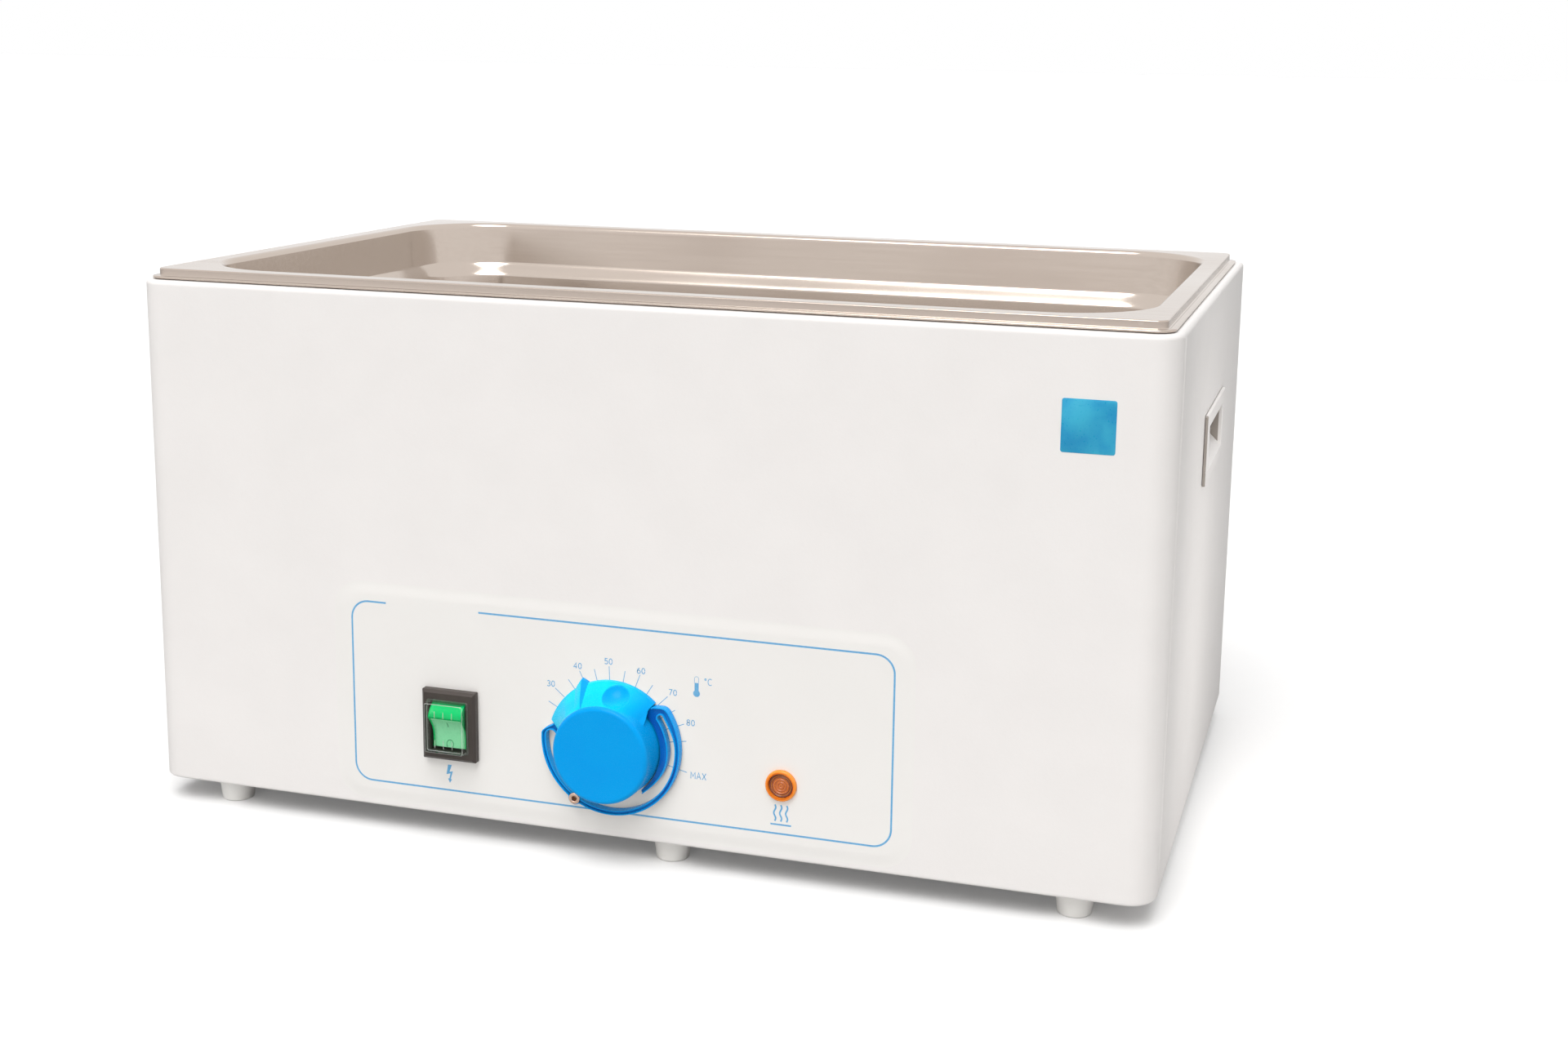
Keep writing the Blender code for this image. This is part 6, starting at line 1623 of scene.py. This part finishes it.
@dataclass(frozen=True)
class Lamp:
    """The heater lamp's lens: a bright rim round a darker ringed middle."""

    at: Measures
    place: Pair = (0.0875, 0.0397)
    radius: float = 8.1 * MM
    rise: float = 2.6 * MM
    recess: float = 6.5 * MM

    def build(self) -> None:
        """Make rim and middle as turned bodies."""
        here = self.at.on_front(*self.place)
        base = 0.45 * MM
        floor = self.rise - 1.3 * MM
        rim = [(0.3 * MM, -9.0 * MM), (5.6 * MM, -9.0 * MM), (5.8 * MM, -8.7 * MM), (5.8 * MM, base)]
        rim += [(7.9 * MM, base), (8.1 * MM, base + 0.2 * MM)]
        rim += [(self.radius - inset, self.rise - 1.0 * MM + rise) for inset, rise in bend(1.0 * MM, 7)]
        rim += [(self.recess + 0.6 * MM - inset, self.rise - 0.6 * MM + rise) for rise, inset in bend(0.6 * MM, 5)]
        rim += [(self.recess, floor - 0.2 * MM), (0.3 * MM, floor - 0.2 * MM)]
        surface = Surface()
        surface.turned(rim, here, 96)
        Piece("lens_rim", Look.ORANGE, nodes=("lamp_lens",), sharp=40.0).make(surface)
        middle = Surface()
        reach = self.recess - 0.05 * MM
        spots = np.linspace(reach, 0.1 * MM, 60)
        waves = floor + 0.22 * MM * np.cos(spots / (1.45 * MM) * 2 * math.pi)
        profile = [(0.1 * MM, floor - 0.4 * MM), (reach, floor - 0.4 * MM)]
        profile += list(zip(spots.tolist(), waves.tolist()))
        middle.turned(profile, here, 96)
        zone = np.clip((np.array([radius for radius, _ in profile]) - 4.1 * MM) / (0.5 * MM), 0, 1)
        middle.marks[0] = np.repeat(zone, 96)
        Piece("lens_middle", Look.AMBER, sharp=60.0).make(middle)


@dataclass(frozen=True)
class Feet:
    """Six tapered feet, turned with a soft lower edge and a screw recess."""

    at: Measures
    names: tuple[str, ...] = tuple(
        f"foot_{row}_{column}" for row in ("front", "rear") for column in ("left", "middle", "right")
    )

    def build(self) -> None:
        """Make each foot where the frame has it."""
        for name in self.names:
            low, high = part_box(name)
            x, y, top = (low.x + high.x) / 2, (low.y + high.y) / 2, high.z
            here = Facing((x, y, 0.0), (1, 0, 0), (0, 1, 0), (0, 0, 1))
            soft = bend(0.9 * MM, 6)
            profile = [(4.5 * MM, 0.0), (7.7 * MM, 0.0)]
            profile += [(8.6 * MM - 0.9 * MM + rise, inset) for inset, rise in soft[1:]]
            profile += [(9.93 * MM, top - 0.5 * MM), (9.9 * MM, top - 0.15 * MM), (9.7 * MM, top)]
            profile += [(2.3 * MM, top), (2.3 * MM, 7.0 * MM), (4.3 * MM, 7.0 * MM), (4.5 * MM, 6.8 * MM), (4.5 * MM, 0.3 * MM)]
            surface = Surface()
            surface.turned(profile, here, 72, True)
            Piece(name + "_skin", Look.FOOT, nodes=(name,)).make(surface)


@dataclass(frozen=True)
class Handle:
    """A recessed handle: a proud flange and a grip whose floor slopes up inside."""

    at: Measures
    side: int
    name: str
    centre: Pair = (0.013, 0.1967)
    half: Pair = (49.0 * MM, 18.75 * MM)
    proud: float = 1.8 * MM
    grip: float = 37.0 * MM
    wall: float = 1.4 * MM
    shade: float = 0.9
    depth: float = 13.0 * MM

    def build(self) -> None:
        """Make the handle as one closed skin, from the pocket's back over the flange into the grip."""
        here = self.at.on_side(self.side, *self.centre)
        low, top, roof = 0.1845 - self.centre[1], 0.2080 - self.centre[1], 0.2115 - self.centre[1]
        across = 0.0

        def span(half: float, bottom: float, upper: float, radius: float, out: float) -> Outline:
            return Outline(half, (upper - bottom) / 2, radius, out, (across, (upper + bottom) / 2))

        outer_low = low + self.proud + self.depth + self.wall - self.wall * math.sqrt(2)
        soft = 0.5 * MM
        rows = [
            span(self.grip + self.wall, outer_low, roof + self.wall, soft, -self.depth - self.wall),
            span(self.grip + self.wall, low + self.proud - 1.9 * MM, roof + self.wall, soft, 0.3 * MM),
            Outline(self.half[0], self.half[1], 0.8 * MM, 0.3 * MM),
        ]
        rows += [
            Outline(self.half[0] - inset, self.half[1] - inset, 0.9 * MM, self.proud - 0.6 * MM + rise)
            for inset, rise in bend(0.6 * MM, 4)
        ]
        rows += [
            span(self.grip + 0.3 * MM, low - 0.3 * MM, top + 0.3 * MM, soft, self.proud),
            span(self.grip, low, top, soft, self.proud - 0.3 * MM),
            span(self.grip, low + self.proud, top, soft, 0.0),
            span(self.grip, low + self.proud + 0.3 * MM, roof, soft, -0.3 * MM),
            span(self.grip, low + self.proud + self.depth, roof, soft, -self.depth),
        ]
        grid = np.stack([outline.ring(Stations.even(4, 4, 0.01)) for outline in rows])
        order = np.arange(len(rows))[:, None]
        # the flange's two ends and the pocket's end walls and roof take the grey marked tone: painted shade
        flange = (order >= 2) & (order < len(rows) - 6) & (np.abs(grid[..., 0]) > self.half[0] - MM)
        pocket = (order >= len(rows) - 2) & ((np.abs(grid[..., 0]) > self.grip - MM) | (grid[..., 1] > roof - MM))
        surface = Surface()
        surface.grid(grid, here, marks=self.shade * (flange | pocket))
        Piece(f"handle_{self.name}_skin", Look.GRIP, nodes=("handle_" + self.name,), sharp=25.0).make(surface)


@dataclass(frozen=True)
class ScrewHead:
    """A domed screw head with a cross recess, and its shank."""

    radius: float = 2.8 * MM
    height: float = 1.6 * MM
    shank: float = 1.5 * MM
    length: float = 8.0 * MM

    def add(self, surface: Surface, here: Facing) -> None:
        """Add the screw: rings of a dome that falls off with the radius squared, pressed in along two arms.

        Args:
            surface: where it goes.
            here: the head's underside and the way out.
        """
        turns = np.radians(np.arange(0, 360, 3.75))
        rows = [np.full((len(turns), 2), pair) for pair in ((self.shank, -self.length), (self.shank, 0.0))]
        crown = self.height * 0.45
        rows += [np.full((len(turns), 2), (self.radius, level)) for level in (0.0, self.height - crown - 0.1 * MM)]
        for share in (0.99, 0.94, 0.86, 0.76, 0.66, 0.58, 0.5, 0.42, 0.34, 0.26, 0.18, 0.1, 0.04):
            reach = self.radius * share
            level = self.height - crown * share * share
            narrow = np.minimum(np.abs(reach * np.cos(turns)), np.abs(reach * np.sin(turns)))
            arm = np.clip((0.42 * MM - narrow) / (0.12 * MM), 0, 1) * np.clip((0.62 - share) / 0.06, 0, 1)
            rows.append(np.column_stack([np.full(len(turns), reach), level - arm * self.height * 0.5]))
        grid = np.stack(rows)
        points = np.stack([grid[..., 0] * np.cos(turns), grid[..., 0] * np.sin(turns), grid[..., 1]], axis=-1)
        surface.grid(points, here)


@dataclass(frozen=True)
class Rear:
    """The rear: screw heads and the mains inlet with its rounded flange and keyed well."""

    at: Measures

    def screws(self) -> None:
        """The rear panel's and the inlet's screws, where the frame has them."""
        names = [f"rear_screw_{row}_{column}" for row in ("low", "high") for column in ("left", "right")]
        for name in names + ["inlet_screw_left", "inlet_screw_right"]:
            low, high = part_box(name)
            head = ScrewHead(length=high.y - low.y - 1.6 * MM)
            here = Facing(
                ((low.x + high.x) / 2, high.y - head.height, (low.z + high.z) / 2), (-1, 0, 0), (0, 0, 1), (0, 1, 0)
            )
            surface = Surface()
            head.add(surface, here)
            Piece(name + "_skin", Look.ZINC, nodes=(name,)).make(surface)

    def inlet(self) -> None:
        """The mains inlet: rounded flange, body behind it and a well with its two far corners cut round."""
        low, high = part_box("inlet_body")
        flange = 2.8 * MM
        middle = ((low.x + high.x) / 2, high.y - flange, (low.z + high.z) / 2)
        here = Facing(middle, (-1, 0, 0), (0, 0, 1), (0, 1, 0))
        half = ((high.x - low.x) / 2, (high.z - low.z) / 2)
        core, well = (13.9 * MM, 10.0 * MM), (12.2 * MM, 8.3 * MM)
        rings = [Outline(*core, 1.5 * MM, -17.5 * MM), Outline(*core, 1.5 * MM, 0.0), Outline(*half, 5.0 * MM, 0.0)]
        rings += [
            Outline(half[0] - inset, half[1] - inset, 5.0 * MM - inset, flange - 0.6 * MM + rise)
            for inset, rise in bend(0.6 * MM, 5)
        ]
        lip = (well[0] + 1.6 * MM, well[1] + 1.6 * MM)
        rings += [
            Outline(*lip, 1.8 * MM, flange, far_radius=5.2 * MM),
            Outline(lip[0] - 0.3 * MM, lip[1] - 0.3 * MM, 1.6 * MM, flange - 0.3 * MM, far_radius=5.0 * MM),
            Outline(well[0] + 0.3 * MM, well[1] + 0.3 * MM, 1.2 * MM, flange - 0.3 * MM, far_radius=4.6 * MM),
            Outline(*well, 1.0 * MM, flange - 0.6 * MM, far_radius=4.4 * MM),
            Outline(*well, 1.0 * MM, flange - 16.5 * MM, far_radius=4.4 * MM),
        ]
        surface = Surface()
        surface.loft(rings, here, Stations.even(2, 6))
        Piece("inlet_skin", Look.BLACK, nodes=("inlet_body",), sharp=30.0).make(surface)

    def build(self) -> None:
        """Make screws and inlet."""
        self.screws()
        self.inlet()


@dataclass(frozen=True)
class Wardrobe:
    """The frame's own nodes that stay, and the look that each wears."""

    looks: tuple[tuple[Look, tuple[str, ...]], ...] = (
        (Look.WHITE, ("rear_panel", "base_plate")),
        (Look.FILM, ("control_overlay",)),
        (Look.WOOL, ("insulation_jacket", "insulation_base")),
        (Look.HEATER, ("heater_mat",)),
        (Look.ALUMINIUM, ("heat_spreader",)),
        (Look.BLACK, ("thermostat_body", "overheat_cutout", "lamp_body", "lamp_nut")),
        (Look.BRASS, ("inlet_pin_earth", "inlet_pin_live", "inlet_pin_neutral")),
        (Look.COPPER, ("thermostat_bulb", "thermostat_capillary")),
        (Look.CERAMIC, ("terminal_block",)),
        (Look.BROWN, ("wire_live", "wire_lamp", "wire_switch_thermostat", "wire_thermostat_cutout")),
        (Look.BLUE, ("wire_neutral",)),
        (Look.EARTH, ("wire_earth",)),
    )

    def dress(self) -> None:
        """Give every node that is still shown its finish; what no list names is plated steel."""
        chosen = {name: look for look, names in self.looks for name in names}
        for name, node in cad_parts.items():
            if node.hide_render:
                continue
            look = chosen.get(name, Look.ZINC)
            node.data.materials.clear()
            node.data.materials.append(look.material())
        LOG.info("dressed %d nodes of the frame", len(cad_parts))


# Stage


@dataclass(frozen=True)
class Stage:
    """Bench, white surroundings and lamps."""

    reach: float = 30.0
    ambient: float = 0.20

    def floor(self) -> None:
        """A pale bench that keeps the shadow of the bath, is white elsewhere and is open to the eye from below."""
        reach = self.reach
        mesh = bpy.data.meshes.new("bench")
        mesh.from_pydata([(-reach, -reach, 0), (reach, -reach, 0), (reach, reach, 0), (-reach, reach, 0)], [], [(0, 1, 2, 3)])
        bench = bpy.data.objects.new("bench", mesh)
        bpy.context.scene.collection.objects.link(bench)
        recipe = Recipe("bench_white", (0.9, 0.9, 0.9))
        grain = recipe.noise(40.0)
        seen = recipe.add("ShaderNodeLightPath").outputs["Is Camera Ray"]
        bounced = recipe.blend(grain, (0.50, 0.50, 0.50), (0.52, 0.52, 0.52))
        shown = recipe.blend(grain, (0.86, 0.86, 0.86), (0.88, 0.88, 0.88))
        recipe.feed("Base Color", recipe.blend(seen, bounced, shown))
        recipe.set("Roughness", 0.9)
        recipe.set("Specular IOR Level", 0.0)
        recipe.set("Emission Color", (1, 1, 1, 1))
        recipe.feed("Emission Strength", recipe.spread(seen, 0, 1, 0, 0.10))
        below = recipe.add("ShaderNodeNewGeometry").outputs["Backfacing"]
        open_side = recipe.add("ShaderNodeMixShader")
        recipe.join(below, open_side.inputs[0])
        recipe.join(recipe.shader.outputs[0], open_side.inputs[1])
        recipe.join(recipe.add("ShaderNodeBsdfTransparent").outputs[0], open_side.inputs[2])
        recipe.join(open_side.outputs[0], recipe.output.inputs["Surface"])
        bench.data.materials.append(recipe.material)

    def surroundings(self) -> None:
        """White to the eye and in reflections, a plain soft light for the rest."""
        world = bpy.data.worlds.new("surroundings")
        bpy.context.scene.world = world
        world.use_nodes = True
        tree = world.node_tree
        tree.nodes.clear()
        seen = tree.nodes.new("ShaderNodeLightPath")
        first = tree.nodes.new("ShaderNodeMath")
        first.operation = "MAXIMUM"
        second = tree.nodes.new("ShaderNodeMath")
        second.operation = "MAXIMUM"
        tree.links.new(seen.outputs["Is Camera Ray"], first.inputs[0])
        tree.links.new(seen.outputs["Is Glossy Ray"], first.inputs[1])
        tree.links.new(first.outputs[0], second.inputs[0])
        tree.links.new(seen.outputs["Is Transmission Ray"], second.inputs[1])
        soft = tree.nodes.new("ShaderNodeBackground")
        soft.inputs["Color"].default_value = (1, 0.985, 0.97, 1)
        soft.inputs["Strength"].default_value = self.ambient
        white = tree.nodes.new("ShaderNodeBackground")
        white.inputs["Color"].default_value = (1, 1, 1, 1)
        white.inputs["Strength"].default_value = 1.0
        mix = tree.nodes.new("ShaderNodeMixShader")
        output = tree.nodes.new("ShaderNodeOutputWorld")
        tree.links.new(second.outputs[0], mix.inputs[0])
        tree.links.new(soft.outputs[0], mix.inputs[1])
        tree.links.new(white.outputs[0], mix.inputs[2])
        tree.links.new(mix.outputs[0], output.inputs["Surface"])

    def lamp(
        self, name: str, toward: Sequence[float], level: float, spread: float, colour: Colour, mirrored: bool = False
    ) -> None:
        """One distant soft lamp.

        Args:
            name: its name.
            toward: the way from the bath to the lamp.
            level: the light on a face that looks at the lamp, as a share of plain white.
            spread: its width in the sky, in degrees.
            colour: its tint.
            mirrored: whether shiny faces show the lamp itself.
        """
        data = bpy.data.lights.new(name, "SUN")
        data.energy = level * math.pi
        data.angle = math.radians(spread)
        data.color = colour
        lamp = bpy.data.objects.new(name, data)
        bpy.context.scene.collection.objects.link(lamp)
        lamp.rotation_mode = "QUATERNION"
        lamp.rotation_quaternion = Vector(toward).to_track_quat("Z", "Y")
        lamp.visible_glossy = mirrored

    def panel(self) -> None:
        """A low soft panel beside the bath's right side, which lights the side more near the bench."""
        data = bpy.data.lights.new("side_panel", "AREA")
        data.shape = "RECTANGLE"
        data.size, data.size_y = 0.06, 0.30
        data.energy = 0.15
        data.color = (1.0, 0.98, 0.96)
        panel = bpy.data.objects.new("side_panel", data)
        bpy.context.scene.collection.objects.link(panel)
        panel.rotation_mode = "QUATERNION"
        panel.rotation_quaternion = Vector((1.0, 0.0, 0.0)).to_track_quat("Z", "Y")
        panel.location = (0.414, -0.03, 0.095)
        panel.visible_glossy = False
        panel.visible_camera = False

    def build(self) -> None:
        """Set bench, surroundings and lamps."""
        self.floor()
        self.surroundings()
        self.panel()
        self.lamp("key", (0.03, -0.62, 0.85), 0.41, 40.0, (1.0, 0.99, 0.98), True)
        self.lamp("low", (-0.10, -1.0, 0.12), 0.23, 25.0, (1.0, 0.99, 0.98))
        self.lamp("fill", (0.85, -0.34, 0.24), 0.05, 60.0, (1.0, 0.95, 0.91))
        self.lamp("top", (0.0, -0.25, 1.0), 0.60, 60.0, (1.0, 1.0, 1.0))
        self.lamp("back", (-0.35, 0.93, 0.17), 0.16, 50.0, (1.0, 0.99, 0.98))


@dataclass(frozen=True)
class Eye:
    """The camera, at the photograph's place for a frame of 1920 by 1280."""

    place: tuple[float, float, float] = (0.3639, -1.0649, 0.4154)
    yaw: float = 16.983
    pitch: float = -10.932
    roll: float = 0.800
    lens: float = 45.918
    shift: Pair = (-0.0031, -0.06)

    def build(self) -> None:
        """Set the camera from its yaw, pitch and roll."""
        yaw, pitch, roll = (math.radians(value) for value in (self.yaw, self.pitch, self.roll))
        forward = Vector((-math.sin(yaw) * math.cos(pitch), math.cos(yaw) * math.cos(pitch), math.sin(pitch)))
        level = forward.cross(Vector((0, 0, 1))).normalized()
        upright = level.cross(forward)
        right = level * math.cos(roll) + upright * math.sin(roll)
        up = upright * math.cos(roll) - level * math.sin(roll)
        axes = Matrix((right, up, -forward)).transposed().to_4x4()
        data = bpy.data.cameras.new("eye")
        data.lens = self.lens
        data.sensor_width = 36.0
        data.shift_x, data.shift_y = self.shift
        eye = bpy.data.objects.new("eye", data)
        bpy.context.scene.collection.objects.link(eye)
        eye.matrix_world = Matrix.Translation(self.place) @ axes
        bpy.context.scene.camera = eye


def main() -> None:
    """Build the bath over its frame, dress what stays, and set the stage."""
    logging.basicConfig(level=logging.INFO, format="%(name)s: %(message)s")
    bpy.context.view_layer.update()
    at = Measures.read()
    steps = (
        ("case", Case(at)), ("tank", Tank(at)), ("print", Print(at)), ("sticker", Sticker(at)),
        ("knob", Knob(at)), ("clip ring", ClipRing(at)), ("switch", Switch(at)), ("lamp", Lamp(at)),
        ("feet", Feet(at)), ("right handle", Handle(at, 1, "right")), ("left handle", Handle(at, -1, "left")),
        ("rear", Rear(at)),
    )
    for name, part in steps:
        part.build()
        LOG.info("%s is done", name)
    Wardrobe().dress()
    Stage().build()
    Eye().build()
    bpy.context.scene.view_settings.view_transform = "Standard"


if __name__ == "__main__":
    main()
